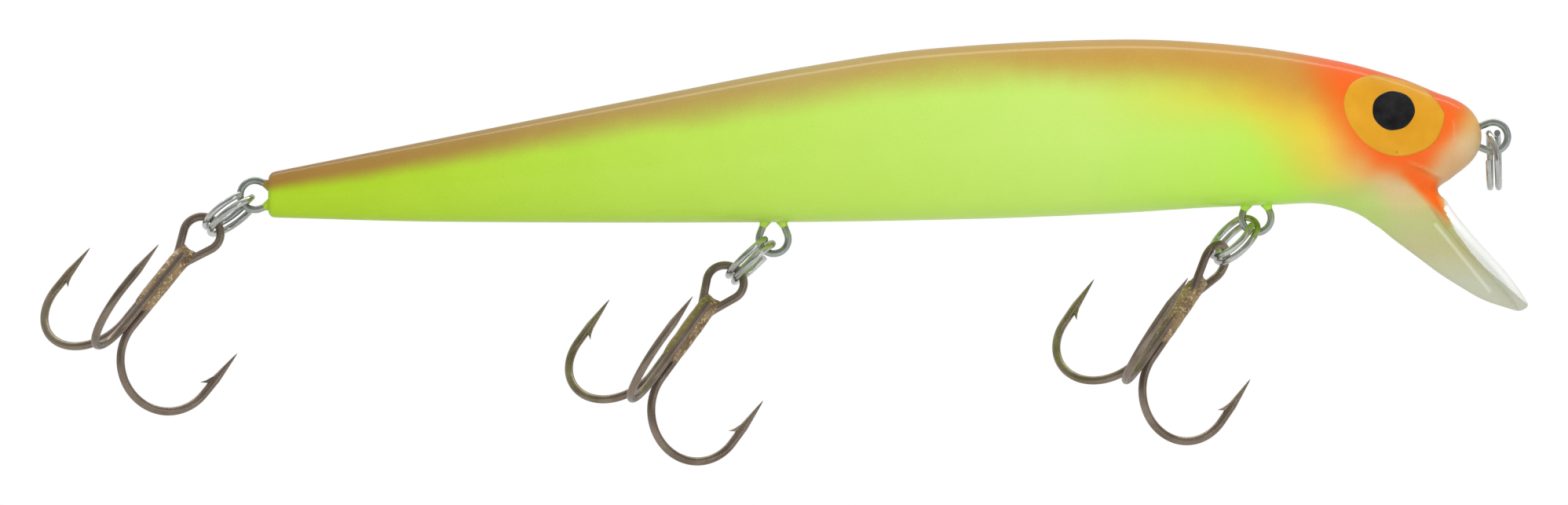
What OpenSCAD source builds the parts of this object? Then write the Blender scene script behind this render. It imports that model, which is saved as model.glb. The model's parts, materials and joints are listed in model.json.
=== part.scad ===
// Minnow-shaped crankbait lure: hollow body in two halves with a moulded lip,
// wire hangers, split rings and treble hooks. Lengths are in millimetres.
// The origin is the centre of the line tie. +X points out of the nose,
// +Z up to the back, and the lure's right side is at -Y.

/* [Body] */
// Length from the nose tip to the flat tail end
body_l = 152; // [140:1:170]
// Greatest width across the flanks
body_w = 16.4; // [15:0.2:19]
// Height of the back's crown above the line tie
back_h = 12.2; // [11:0.1:14]
// Depth of the belly below the line tie
belly_h = 10.7; // [10:0.1:12]
// Height of the tail end
tail_h = 5.6; // [5.2:0.1:6.4]
// Width of the tail end
tail_w = 5; // [4.6:0.1:6]
// Depth of the tail end's middle below the line tie
tail_drop = 7.3; // [6.5:0.1:7.6]
// Rounding of the tail end's edge
tail_round = 0.8; // [0.4:0.1:1.2]
// Length of the rounded nose
nose_round = 4.5; // [3.5:0.1:6]
// Squareness of the cross-section, where 2 is an ellipse
section_power = 2.4; // [2:0.1:3]
// Thickness of the moulded wall
shell_wall = 1.6; // [1.3:0.1:1.9]

/* [Lip] */
// Greatest width of the lip
lip_w = 18; // [14:0.5:22]
// Thickness of the lip's plate
lip_t = 1.2; // [0.9:0.1:1.6]
// Drop of the lip's tip below the corner of the mouth
lip_drop = 14.9; // [12:0.1:18]
// Reach of the lip's tip ahead of the corner of the mouth
lip_reach = 11.4; // [8:0.1:14]
// Depth of the dish across the lip's front
lip_dish = 1; // [0.4:0.1:1.4]
// Depth of the corner of the mouth below the line tie
mouth_drop = 6.9; // [6.5:0.1:7.5]
// Distance of the corner of the mouth behind the nose tip
mouth_back = 5.2; // [4.8:0.1:6]

/* [Wire hangers] */
// Wire of the hangers
hanger_wire = 0.9; // [0.7:0.05:1]
// Outside diameter of a hanger's loop
hanger_od = 4.56; // [4.3:0.02:5.4]
// Outside diameter of the loop inside the body
anchor_od = 3.7; // [3.4:0.1:4.2]
// Distance between the two wires' centres at the neck
neck_w = 1.36; // [1.3:0.02:1.6]
// Lean of the legs from the loop to the neck, in degrees
hanger_lean = 22; // [18:1:28]
// Radius of the bend at the neck
neck_r = 1.5; // [1.2:0.1:2]
// Stand-off of the line tie's centre from the nose tip
nose_stand = 1.45; // [1.2:0.05:2]
// Stand-off of the front hanger's loop from the belly
front_stand = 1.55; // [1.4:0.05:2.2]
// Stand-off of the middle hanger's loop from the belly
middle_stand = 2.1; // [1.4:0.05:2.3]
// Stand-off of the tail hanger's loop from the tail end
tail_stand = 1.7; // [1.4:0.05:2.2]
// Distance of the front hanger behind the nose tip
front_back = 28.2; // [26:0.2:31]
// Distance of the middle hanger behind the nose tip
middle_back = 88.7; // [85:0.2:92]

/* [Split rings] */
// Outside diameter of a split ring
ring_od = 7.6; // [7:0.1:9]
// Wire of the split rings
ring_wire = 0.8; // [0.6:0.05:0.9]
// Clear gap between the two turns
ring_gap = 0.46; // [0.42:0.02:0.6]
// Turns of wire in a ring
ring_turns = 1.75; // [1.6:0.05:1.85]

/* [Treble hooks] */
// Wire of the hooks
hook_wire = 1.04; // [0.9:0.02:1.2]
// Outside diameter of a hook's eye
hook_eye_od = 5.7; // [5.4:0.02:6.4]
// Lean of the eye's legs towards the shank, in degrees
hook_lean = 24; // [20:1:30]
// Radius of the bend from the eye's leg into the shank
shank_r = 3; // [2:0.1:4]
// Distance between the centres of neighbouring shank wires
shank_gap = 1.2; // [1.16:0.02:1.3]
// Distance from the eye's centre to the start of the bend
shank_l = 15; // [12:0.1:18]
// Radius of the bend
bend_r = 6.4; // [5:0.1:8]
// Length of the straight wire between the bend and the point
throat_l = 2.6; // [1.8:0.1:3]
// Length of the tapered point
point_l = 4.2; // [3:0.1:5]
// Height of the barb off the wire
barb_h = 0.85; // [0.5:0.05:1]
// Bare length of the shank between the braze and the bend
braze_stop = 2; // [0.4:0.1:4]

/* [Inside] */
// Diameter of a keel weight
weight_d = 5.4; // [4:0.1:6]
// Length of a keel weight
weight_l = 14; // [10:0.5:16]
// Distance of the front keel weight's middle behind the nose tip
front_weight_back = 46; // [42:0.5:48]
// Distance of the rear keel weight's middle behind the nose tip
rear_weight_back = 72; // [70:0.5:76]
// Diameter of a rattle ball
ball_d = 5; // [4:0.1:5.4]
// Free travel of a rattle ball
ball_travel = 3; // [2:0.1:4]
// Distance of the rattle cells' middle behind the nose tip
rattle_back = 106; // [104:0.5:110]
// Thickness of the walls around weights, cells and hangers
pocket_wall = 1.3; // [1:0.1:1.6]
// Thickness of a bulkhead
bulkhead_t = 4; // [3:0.5:5]
// Diameter of a locating pin
locator_d = 2; // [1.6:0.1:2.4]

/* [Clearances] */
// Clearance of a hanger in its pocket
pocket_clear = 0.06; // [0.04:0.01:0.12]
// Clearance of a keel weight in its pocket
weight_clear = 0.1; // [0.06:0.01:0.2]
// Clearance of a rattle ball in its cell
ball_clear = 0.15; // [0.1:0.01:0.3]
// Clearance of a locating pin in its socket
locator_clear = 0.06; // [0.04:0.01:0.12]
// Clearance between wires that hang in each other
hang_clear = 0.2; // [0.1:0.01:0.25]
// Clearance of the braze around the hook wires
braze_clear = 0.02; // [0.01:0.01:0.04]

/* [Hidden] */
$fn = 48;

// Smooth curve through hand-chosen pairs of distance and value
function span(keys, s, i = 0) =
  i >= len(keys) - 2 || s < keys[i + 1][0] ? i : span(keys, s, i + 1);
function slope(keys, i) =
  let (a = max(i - 1, 0), b = min(i + 1, len(keys) - 1))
  (keys[b][1] - keys[a][1]) / (keys[b][0] - keys[a][0]);
function smooth(keys, s) =
  let (
    i = span(keys, s),
    a = keys[i],
    b = keys[i + 1],
    h = b[0] - a[0],
    t = (s - a[0]) / h,
    u = t * t,
    v = u * t
  )
  a[1] * (2 * v - 3 * u + 1) + b[1] * (3 * u - 2 * v)
  + h * (slope(keys, i) * (v - 2 * u + t) + slope(keys, i + 1) * (v - u));

// Body lines, by distance behind the nose tip:
// drop of the back below its crown, rise of the belly, and narrowing of a flank
back_line = [
  [0, 7.6], [4, 7.2], [10, 4.9], [18, 2.7], [30, 0.8], [45, 0],
  [69, 1.15], [85, 3.45], [100, 6.3], [body_l, back_h + tail_drop - tail_h / 2]
];
belly_line = [
  [0, 6.5], [3, 5.85], [5.5, 4.4], [10, 3.1], [22, 2.35], [34, 1.85], [46, 1.1],
  [62, 0.45], [88, 0], [130, 0.05], [body_l, belly_h - tail_drop - tail_h / 2]
];
flank_line = [
  [0, 4], [5, 3.1], [12, 1.9], [25, 0.6], [45, 0], [75, 0.5], [105, 2.2],
  [body_l, (body_w - tail_w) / 2]
];
function nose_share(s) = s < nose_round ? sqrt(1 - pow(1 - s / nose_round, 2)) : 1;
function back_z(s) = (back_h - smooth(back_line, s)) * nose_share(s);
function belly_z(s) = (smooth(belly_line, s) - belly_h) * nose_share(s);
function flank_y(s) = (body_w / 2 - smooth(flank_line, s)) * nose_share(s);
function body_x(s) = -nose_stand - s;

// Stations of the body as distance and inset: nose, body, tail edge
nose_steps = 7;
body_steps = 34;
tail_steps = 2;
body_end = body_l - tail_round;
body_stations = [
  for (i = [1:nose_steps]) [nose_round * (1 - cos(90 * i / nose_steps)), 0],
  for (i = [1:body_steps]) [nose_round + (body_end - nose_round) * i / body_steps, 0],
  for (i = [1:tail_steps]) let (a = 90 * i / tail_steps)
    [body_end + tail_round * sin(a), tail_round * (1 - cos(a))]
];
nose_solid = 12;
tail_solid = 9;
cavity_end = body_l - tail_solid;
cavity_steps = 18;
cavity_stations = [
  for (i = [0:cavity_steps])
    [nose_solid + (cavity_end - nose_solid) * i / cavity_steps, shell_wall]
];
body_sides = 28;
cavity_sides = 16;

// One cross-section of the body: a squared ellipse from the back line to the belly line
function curl(c) = sign(c) * pow(abs(c), 2 / section_power);
function section(station, sides) =
  let (
    s = station[0],
    high = back_z(s) - station[1],
    low = belly_z(s) + station[1],
    wide = flank_y(s) - station[1]
  )
  [
    for (j = [0:sides - 1]) let (a = 360 * j / sides)
      [body_x(s), wide * curl(sin(a)), (high + low) / 2 + (high - low) / 2 * curl(cos(a))]
  ];

// Skin over a row of cross-sections with as many points each, closed at both ends.
// An end that isn't convex is closed round a hub inside it.
module loft(rows, hubs = []) {
  n = len(rows);
  m = len(rows[0]);
  points = concat([for (row = rows) each row], hubs);
  sides = [
    for (i = [0:n - 2], j = [0:m - 1]) let (k = (j + 1) % m)
      each [
        [i * m + j, (i + 1) * m + j, i * m + k],
        [i * m + k, (i + 1) * m + j, (i + 1) * m + k]
      ]
  ];
  ends = hubs == [] ?
    [[for (j = [0:m - 1]) j], [for (j = [0:m - 1]) n * m - 1 - j]] :
    [
      for (j = [0:m - 1]) let (k = (j + 1) % m)
        each [[n * m, j, k], [n * m + 1, (n - 1) * m + k, (n - 1) * m + j]]
    ];
  polyhedron(points, concat(sides, ends));
}

// Lip by share of its drop from the mouth's corner to the tip:
// its rear edge behind the mouth's corner, its half-width share and its spine's half-width
mouth_x = body_x(mouth_back);
lip_rear = [
  [-0.15, 16.5], [0.09, 16.5], [0.14, 12.8], [0.25, 8.9], [0.43, 5.2], [0.56, 2.6],
  [0.69, 0], [0.8, -2.6], [0.9, -5.2], [0.97, -7.9], [1, -9]
];
lip_side = [
  [-0.15, 0.42], [0, 0.5], [0.15, 0.66], [0.35, 0.86], [0.55, 0.98], [0.72, 1],
  [0.85, 0.9], [0.95, 0.6], [1, 0.3]
];
lip_spine = [[-0.15, 4.9], [0.05, 4.6], [0.25, 3.6], [0.45, 2.8], [0.65, 2.2], [0.85, 1.5], [1, 0.7]];
lip_stations = [
  -0.15, -0.07, 0, 0.06, 0.11, 0.16, 0.22, 0.3, 0.38, 0.46, 0.54, 0.62, 0.7, 0.78, 0.85, 0.91, 0.96, 1
];
// Bow of the front edge, thinning at the tip, share of the drop where the front edge
// stops reaching forward, and place of an end's hub in the plate's thickness
lip_bow = 0.35;
tip_thin = 0.5;
reach_stop = 0.97;
hub_share = 0.6;
function lip_front(t) = let (u = min(t, reach_stop)) mouth_x + lip_reach * u - lip_bow * sin(360 * u);
function lip_thin(t) = 1 - tip_thin * pow(max(t, 0), 4);
function lip_plate(t) = lip_t * norm([lip_reach, lip_drop]) / lip_drop * lip_thin(t);
function lip_z(t) = -mouth_drop - lip_drop * t;
function lip_hub(t) = [lip_front(t) - lip_dish * lip_thin(t) - hub_share * lip_plate(t), 0, lip_z(t)];
function lip_row(t) =
  let (
    front = lip_front(t),
    plate = lip_plate(t),
    dish = lip_dish * lip_thin(t),
    side = lip_w / 2 * smooth(lip_side, t),
    spine = min(smooth(lip_spine, t), 0.8 * side),
    rear = mouth_x - smooth(lip_rear, t),
    crease = front - plate - dish,
    half = [
      [front - 0.75 * dish, 0.5 * side],
      [front - 0.36 * dish, 0.8 * side],
      [front, side],
      [front - plate, side],
      [front - plate - 0.36 * dish, 0.85 * side],
      [crease, spine],
      [crease + 0.4 * (rear - crease), 0.85 * spine],
      [crease + 0.75 * (rear - crease), 0.55 * spine],
      [rear, 0.2 * spine]
    ],
    z = lip_z(t)
  )
  [
    [front - dish, 0, z],
    for (p = half) [p[0], -p[1], z],
    for (i = [len(half) - 1:-1:0]) [half[i][0], half[i][1], z]
  ];

// Places of the four hangers: centre of the loop and turn about Y that points it into the body
front_x = body_x(front_back);
middle_x = body_x(middle_back);
tail_x = body_x(body_l) - tail_stand;
nose_at = [0, 0, 0];
front_at = [front_x, 0, belly_z(front_back) - front_stand];
middle_at = [middle_x, 0, belly_z(middle_back) - middle_stand];
tail_at = [tail_x, 0, -tail_drop];
nose_turn = 180;
belly_turn = -90;
tail_turn = 0;

// A wire bent step by step: run goes straight, turn bends to the left (right if negative),
// roll turns the bending plane, point tapers to the tip.
// Places along such a wire: centre, way ahead and radius
bend_step = 15;
function turn_by(v, axis, a) = v * cos(a) + cross(axis, v) * sin(a) + axis * (axis * v) * (1 - cos(a));
function trace(steps, r, at, ahead, left, k = 0) =
  k == len(steps) ? [] :
  let (kind = steps[k][0], size = steps[k][1], up = cross(ahead, left))
  kind == "roll" ? trace(steps, r, at, ahead, turn_by(left, ahead, size), k + 1) :
  kind == "point" ? [[at + size * ahead, ahead, tip_d / 2]] :
  kind == "run" ? let (end = at + size * ahead)
    concat([[end, ahead, r]], trace(steps, r, end, ahead, left, k + 1)) :
  let (
    bend = steps[k][2],
    arm = -sign(bend) * size * left,
    centre = at - arm,
    n = ceil(abs(bend) / bend_step)
  )
  concat(
    [for (i = [1:n]) let (a = bend * i / n) [centre + turn_by(arm, up, a), turn_by(ahead, up, a), r]],
    trace(
      steps, r, centre + turn_by(arm, up, bend), turn_by(ahead, up, bend), turn_by(left, up, bend), k + 1
    )
  );
function other_way(steps) = [
  for (step = steps)
    step[0] == "turn" ? [step[0], step[1], -step[2]] : step[0] == "roll" ? [step[0], -step[1]] : step
];
// Rows of points round those places, with no twist from one to the next
function flat_to(v, ahead) = let (w = v - (v * ahead) * ahead) w / norm(w);
function skin(places, side, sides, k = 0) =
  k == len(places) ? [] :
  let (ahead = places[k][1], out = flat_to(side, ahead), up = cross(ahead, out))
  concat(
    [[
      for (j = [0:sides - 1]) let (c = 360 * j / sides)
        places[k][0] + places[k][2] * (cos(c) * out + sin(c) * up)
    ]],
    skin(places, out, sides, k + 1)
  );
// One wire with both ends bent alike, from the far side of a loop round the origin
module wire_pair(steps, d, r, sides) {
  top = [-r, 0, 0];
  half = trace(steps, d / 2, top, [0, 1, 0], [-1, 0, 0]);
  other_half = trace(other_way(steps), d / 2, top, [0, -1, 0], [1, 0, 0]);
  places = [
    for (i = [len(half) - 1:-1:0]) [half[i][0], -half[i][1], half[i][2]],
    [top, [0, -1, 0], d / 2],
    each other_half
  ];
  loft(skin(places, [0, 0, 1], sides));
}

// Hanger: loop, neck and inner loop that closes round a post in the moulding
loop_r = (hanger_od - hanger_wire) / 2;
anchor_r = (anchor_od - hanger_wire) / 2;
end_gap = 8;
function leg_run(r, near, bend, lean) =
  (r * cos(lean) - bend * (1 - cos(lean)) - near) / sin(lean);
loop_leg = leg_run(loop_r, neck_w / 2, neck_r, hanger_lean);
anchor_leg = leg_run(anchor_r, neck_w / 2, neck_r, hanger_lean);
anchor_x = (loop_r + anchor_r + 2 * neck_r) * sin(hanger_lean)
  + (loop_leg + anchor_leg) * cos(hanger_lean);
hanger_l = anchor_x + anchor_od / 2;
hanger_steps = [
  ["turn", loop_r, -90 - hanger_lean],
  ["run", loop_leg],
  ["turn", neck_r, 2 * hanger_lean],
  ["run", anchor_leg],
  ["turn", anchor_r, end_gap - 90 - hanger_lean]
];
hanger_sides = 8;
module hanger(d) {
  rotate([90, 0, 0]) wire_pair(hanger_steps, d, loop_r, hanger_sides);
}
module placed(at, turn) {
  translate(at) rotate([0, turn, 0]) children();
}
module hangers(d) {
  placed(nose_at, nose_turn) hanger(d);
  placed(front_at, belly_turn) hanger(d);
  placed(middle_at, belly_turn) hanger(d);
  placed(tail_at, tail_turn) hanger(d);
}

// Keel weights and rattle cells, low and in the middle of the body
function weight_at(back) =
  [body_x(back), 0, belly_z(back) + shell_wall + pocket_wall + weight_d / 2];
function cell_z(back) = (back_z(back) + belly_z(back)) / 2;
cell_l = ball_d + ball_travel + 2 * ball_clear;
cell_pitch = cell_l + pocket_wall;
cell_at = [body_x(rattle_back), 0, cell_z(rattle_back)];
front_ball_at = cell_at + [cell_pitch / 2, 0, 0];
rear_ball_at = cell_at - [cell_pitch / 2, 0, 0];
module bar(at, d, l) {
  translate(at) rotate([0, 90, 0]) cylinder(d = d, h = l, center = true);
}

// Solid places left in the hollow body: around hangers, weights and cells, and the bulkheads
bulkheads = [20, 59, 124];
function bulkhead_at(back) = [body_x(back), 0, cell_z(back)];
module block(at, size) {
  translate(at) cube([size[0], body_w, size[1]], center = true);
}
module solids() {
  anchor_block = [anchor_od + 2 * pocket_wall, 2 * (hanger_l + pocket_wall)];
  block(front_at, anchor_block);
  block(middle_at, anchor_block);
  weight_block = [weight_l + 2 * (weight_clear + pocket_wall), weight_d + 2 * (weight_clear + pocket_wall)];
  for (back = [front_weight_back, rear_weight_back]) block(weight_at(back), weight_block);
  block(cell_at, [2 * cell_pitch + pocket_wall, ball_d + 2 * (ball_clear + pocket_wall)]);
  for (back = bulkheads) block(bulkhead_at(back), [bulkhead_t, 2 * back_h + belly_h]);
}
module locators(d, l) {
  for (back = bulkheads)
    translate(bulkhead_at(back)) rotate([90, 0, 0]) cylinder(d = d, h = l, center = true);
}

// Left half of the body, with its half of the lip. The right half is its mirror image.
module left_of_middle() {
  difference() {
    children();
    translate([-2 * body_l, -2 * body_w, -body_l]) cube([4 * body_l, 2 * body_w, 2 * body_l]);
  }
}
module half_shell() {
  difference() {
    union() {
      left_of_middle() loft([for (station = body_stations) section(station, body_sides)]);
      left_of_middle()
        loft([for (t = lip_stations) lip_row(t)], [for (t = [lip_stations[0], 1]) lip_hub(t)]);
    }
    difference() {
      loft([for (station = cavity_stations) section(station, cavity_sides)]);
      solids();
    }
    hangers(hanger_wire + 2 * pocket_clear);
    for (back = [front_weight_back, rear_weight_back])
      bar(weight_at(back), weight_d + 2 * weight_clear, weight_l + 2 * weight_clear);
    for (at = [front_ball_at, rear_ball_at]) bar(at, ball_d + 2 * ball_clear, cell_l);
  }
}
locator_l = 3;
module left_shell() {
  color("yellowgreen") union() {
    half_shell();
    locators(locator_d, locator_l);
  }
}
module right_shell() {
  color("greenyellow") difference() {
    mirror([0, 1, 0]) half_shell();
    locators(locator_d + 2 * locator_clear, locator_l + 2 * locator_clear);
  }
}

// Split ring: one wire that runs round, shifts over to the second track and runs round again
ring_r = (ring_od - ring_wire) / 2;
ring_pitch = ring_wire + ring_gap;
ring_end = 360 * ring_turns;
shift_start = ring_end - 360;
ring_steps = 24;
ring_sides = 6;
ring_last = round(ring_turns * ring_steps);
function ease(t) = let (u = min(max(t, 0), 1)) u * u * (3 - 2 * u);
function ring_angle(i) = ring_end * i / ring_last;
function ring_point(i) =
  let (a = ring_angle(i), t = (a - shift_start) / (360 - shift_start))
  [ring_r * cos(a), ring_r * sin(a), ring_pitch * (ease(t) - 0.5)];
function ring_way(i) =
  let (
    a = ring_point(max(i - 1, 0)),
    b = ring_point(min(i + 1, ring_last))
  )
  (b - a) / norm(b - a);
function ring_row(i) =
  let (
    a = ring_angle(i),
    out = [cos(a), sin(a), 0],
    up = cross(out, ring_way(i))
  )
  [
    for (j = [0:ring_sides - 1]) let (c = 360 * j / ring_sides)
      ring_point(i) + ring_wire / 2 * (cos(c) * out + sin(c) * up)
  ];
ring_self_gap = min([
  for (i = [0:ring_last], j = [0:ring_last]) if (j - i >= ring_steps / 2)
    norm(ring_point(i) - ring_point(j)) - ring_wire
]);
echo(ring_self_gap = ring_self_gap);
module split_ring(spin) {
  color("gainsboro") rotate([0, 0, spin]) loft([for (i = [0:ring_last]) ring_row(i)]);
}

// Rings hang in the loops with both turns side by side
function seat(hole_r, wire) =
  sqrt(pow(hole_r - (wire + ring_wire) / 2 - hang_clear, 2) - pow(ring_pitch / 2, 2));
ring_seat = seat(loop_r, hanger_wire);
ring_hang = ring_seat + ring_r;
nose_hang = ring_r - ring_seat;

// Pose of each ring: turn about Y of its long way from the loop, tilt about it, spin of its ends
nose_ring_pose = [88.5, 3, 270];
front_ring_pose = [136, -20, 216];
middle_ring_pose = [136.9, 7, 205];
tail_ring_pose = [143.6, 15, 225];
module hung_ring(at, pose, hang) {
  placed(at, pose[0]) rotate([pose[1], 0, 0]) translate([hang, 0, 0]) split_ring(pose[2]);
}

// Treble hook: eye at the origin in the XY plane and shank along +X.
// The double hook bends to both sides and back, the single hook bends up.
eye_r = (hook_eye_od - hook_wire) / 2;
eye_leg = leg_run(eye_r, shank_gap / 2, shank_r, hook_lean);
shank_start = (eye_r + shank_r) * sin(hook_lean) + eye_leg * cos(hook_lean);
single_z = shank_gap * sin(60);
single_rise = 1.2;
single_start = shank_start - single_rise;
tip_d = 0.12;
double_roll = -30;
double_steps = [
  ["turn", eye_r, -90 - hook_lean],
  ["run", eye_leg],
  ["turn", shank_r, hook_lean],
  ["run", shank_l - shank_start],
  ["roll", double_roll],
  ["turn", bend_r, 180],
  ["run", throat_l],
  ["point", point_l]
];
single_steps = [
  ["run", shank_l - single_start],
  ["roll", 90],
  ["turn", bend_r, 180],
  ["run", throat_l],
  ["point", point_l]
];
single_end = [single_start, 0, single_z];
single_places = [
  [single_end, [1, 0, 0], hook_wire / 2],
  each trace(single_steps, hook_wire / 2, single_end, [1, 0, 0], [0, 1, 0])
];
hook_sides = 10;
barb_t = 0.4;
barb_root = 1.5;
barb_back = 0.9;
module barb(roll, start) {
  translate([shank_l, start[0], start[1]]) rotate([roll, 0, 0])
    translate([0, 2 * bend_r, 0]) rotate([0, 0, 180]) translate([throat_l - barb_back, 0, -barb_t / 2])
      linear_extrude(barb_t) polygon([
        [0, 0.3 * hook_wire],
        [barb_root, 0.3 * hook_wire],
        [-barb_back, hook_wire / 2 + barb_h]
      ]);
}
module double_hook() {
  color("dimgray") {
    wire_pair(double_steps, hook_wire, eye_r, hook_sides);
    for (side = [0, 1]) mirror([0, side, 0]) barb(double_roll, [shank_gap / 2, 0]);
  }
}
module single_hook() {
  color("dimgray") {
    loft(skin(single_places, [0, 1, 0], hook_sides));
    barb(90, [0, single_z]);
  }
}
braze_rise = 0.3;
module hook_braze() {
  middle = shank_gap / 2 * tan(30);
  reach = 2 * (middle + braze_rise);
  bore = hook_wire + 2 * braze_clear;
  color("peru") difference() {
    translate([shank_start, 0, middle]) rotate([90, 0, 90])
      linear_extrude(shank_l - braze_stop - shank_start) intersection() {
        circle(d = 2 * shank_gap);
        polygon([for (a = [90, 210, 330]) reach * [cos(a), sin(a)]]);
      }
    for (at = [[0, -shank_gap / 2, 0], [0, shank_gap / 2, 0], [0, 0, single_z]])
      bar(at, bore, 2 * shank_l);
  }
}

// Pose of each hook: slack of the ring in its eye, sway of the eye from the ring's long way,
// turn of the shank about Y, tilt of the shank to the right side, and roll about the shank
front_slack = 0.67;
middle_slack = 0.11;
tail_slack = 0.06;
front_sway = -2.4;
middle_sway = 1;
front_hook_pose = [front_slack, front_sway, 124.7, 18.1, 216.6];
middle_hook_pose = [middle_slack, middle_sway, 126.2, 17.5, 99.3];
tail_hook_pose = [tail_slack, 0, 129, 15.9, 102.8];
eye_seat = seat(eye_r, hook_wire);
module hung_hook(at, ring_pose, pose) {
  reach = ring_hang + ring_r + eye_seat - pose[0];
  way = ring_pose[0] + pose[1];
  translate(at + reach * [cos(way), 0, -sin(way)])
    rotate([0, pose[2], 0]) rotate([0, 0, -pose[3]]) rotate([pose[4], 0, 0]) children();
}
module front_hook() {
  hung_hook(front_at, front_ring_pose, front_hook_pose) children();
}
module middle_hook() {
  hung_hook(middle_at, middle_ring_pose, middle_hook_pose) children();
}
module tail_hook() {
  hung_hook(tail_at, tail_ring_pose, tail_hook_pose) children();
}

module keel_weight(back) {
  color("slategray") bar(weight_at(back), weight_d, weight_l);
}
module rattle_ball(at) {
  color("silver") translate(at) sphere(d = ball_d);
}

right_shell();
left_shell();
color("lightsteelblue") placed(nose_at, nose_turn) hanger(hanger_wire);  // nose_eye
color("lightsteelblue") placed(front_at, belly_turn) hanger(hanger_wire);  // front_belly_hanger
color("lightsteelblue") placed(middle_at, belly_turn) hanger(hanger_wire);  // middle_belly_hanger
color("lightsteelblue") placed(tail_at, tail_turn) hanger(hanger_wire);  // tail_hanger
hung_ring(nose_at, nose_ring_pose, nose_hang);  // nose_split_ring
hung_ring(front_at, front_ring_pose, ring_hang);  // front_split_ring
hung_ring(middle_at, middle_ring_pose, ring_hang);  // middle_split_ring
hung_ring(tail_at, tail_ring_pose, ring_hang);  // tail_split_ring
front_hook() double_hook();  // front_double_hook
front_hook() single_hook();  // front_single_hook
front_hook() hook_braze();  // front_hook_braze
middle_hook() double_hook();  // middle_double_hook
middle_hook() single_hook();  // middle_single_hook
middle_hook() hook_braze();  // middle_hook_braze
tail_hook() double_hook();  // tail_double_hook
tail_hook() single_hook();  // tail_single_hook
tail_hook() hook_braze();  // tail_hook_braze
keel_weight(front_weight_back);  // front_keel_weight
keel_weight(rear_weight_back);  // rear_keel_weight
rattle_ball(front_ball_at);  // front_rattle_ball
rattle_ball(rear_ball_at);  // rear_rattle_ball
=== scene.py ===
# %% [markdown]
# # A minnow-shaped crankbait
# The lure is a hollow plastic body with a moulded lip, sprayed with fading colours and clear
# coated. Bent wire carries it: hangers set in the body, split rings in the hangers, and treble
# hooks in the rings. The solids of the part give every place and size. This lesson dresses them:
# smooth skins in place of the faceted ones, wire swept along its true path, and finishes made
# from nodes. Lengths are typed in millimetres and turned into metres when a mesh is made.

# %% Load the part
import json
import math
import bmesh
import bpy
import numpy as np
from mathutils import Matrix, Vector, noise
from mathutils.bvhtree import BVHTree


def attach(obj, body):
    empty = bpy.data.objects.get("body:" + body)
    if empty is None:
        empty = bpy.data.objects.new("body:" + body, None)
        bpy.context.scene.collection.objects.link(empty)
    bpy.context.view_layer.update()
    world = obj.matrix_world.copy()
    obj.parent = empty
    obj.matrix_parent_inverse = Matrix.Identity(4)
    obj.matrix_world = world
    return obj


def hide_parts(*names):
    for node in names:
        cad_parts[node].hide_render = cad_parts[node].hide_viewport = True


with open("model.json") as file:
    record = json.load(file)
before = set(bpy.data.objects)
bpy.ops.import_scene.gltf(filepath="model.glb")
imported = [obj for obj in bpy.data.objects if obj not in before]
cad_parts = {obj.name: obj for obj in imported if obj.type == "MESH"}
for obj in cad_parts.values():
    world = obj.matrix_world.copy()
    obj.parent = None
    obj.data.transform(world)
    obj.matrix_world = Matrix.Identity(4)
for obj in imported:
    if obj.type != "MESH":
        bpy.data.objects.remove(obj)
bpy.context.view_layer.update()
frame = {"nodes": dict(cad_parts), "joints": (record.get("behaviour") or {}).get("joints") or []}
scene = bpy.context.scene
MM = 0.001
joint = {j["name"]: j for j in frame["joints"]}

# %% [markdown]
# ## Camera
# The photograph looks square at the lure's right side from far away, so nothing shrinks with
# depth. An orthographic camera would do, but a long lens keeps a trace of depth. Its angle comes
# from the width of the frame at the middle of the body, 196.5 mm over 1997 pixels.

# %% Camera
FRAME_W, FRAME_X, FRAME_Z = 196.47, -88.85, -14.49
CAMERA_BACK = 2800
lens = bpy.data.cameras.new("long_lens")
lens.sensor_fit = "HORIZONTAL"
lens.angle = 2 * math.atan(FRAME_W / 2 / CAMERA_BACK)
lens.clip_end = 20
camera = bpy.data.objects.new("camera", lens)
camera.location = (FRAME_X * MM, -CAMERA_BACK * MM, FRAME_Z * MM)
camera.rotation_euler = (math.pi / 2, 0, 0)
scene.collection.objects.link(camera)
scene.camera = camera
scene.view_settings.view_transform = "Standard"
print("lens angle", round(math.degrees(lens.angle), 2))

# %% [markdown]
# ## Helpers for nodes and meshes
# A finish is a small tree of nodes and a piece is a mesh. Typed out in full, each node and link
# would bury the idea, so short helpers add nodes, start finishes and make meshes.

# %% Helpers
def add(tree, kind, settings=None, **inputs):
    """Adds a node. Settings are its own properties; inputs are values or sockets, by name."""
    node = tree.nodes.new(kind)
    for name, value in (settings or {}).items():
        setattr(node, name, value)
    for name, value in inputs.items():
        put(tree, node.inputs[name.replace("_", " ")], value)
    return node


def put(tree, socket, value):
    """Links a socket to another, or types a value into it."""
    if isinstance(value, bpy.types.NodeSocket):
        tree.links.new(value, socket)
    else:
        socket.default_value = value


def math_node(tree, what, a, b):
    node = tree.nodes.new("ShaderNodeMath")
    node.operation = what
    put(tree, node.inputs[0], a)
    put(tree, node.inputs[1], b)
    return node.outputs[0]


def mix_colour(tree, how, share, a, b):
    node = tree.nodes.new("ShaderNodeMix")
    node.data_type, node.blend_type = "RGBA", how
    put(tree, node.inputs["Factor"], share)
    put(tree, node.inputs["A"], a)
    put(tree, node.inputs["B"], b)
    return node.outputs["Result"]


def ramp(tree, share, stops):
    node = tree.nodes.new("ShaderNodeValToRGB")
    for i, (place, colour) in enumerate(stops):
        stop = node.color_ramp.elements[i] if i < 2 else node.color_ramp.elements.new(place)
        stop.position, stop.color = place, colour
    put(tree, node.inputs["Fac"], share)
    return node.outputs["Color"]


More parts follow.
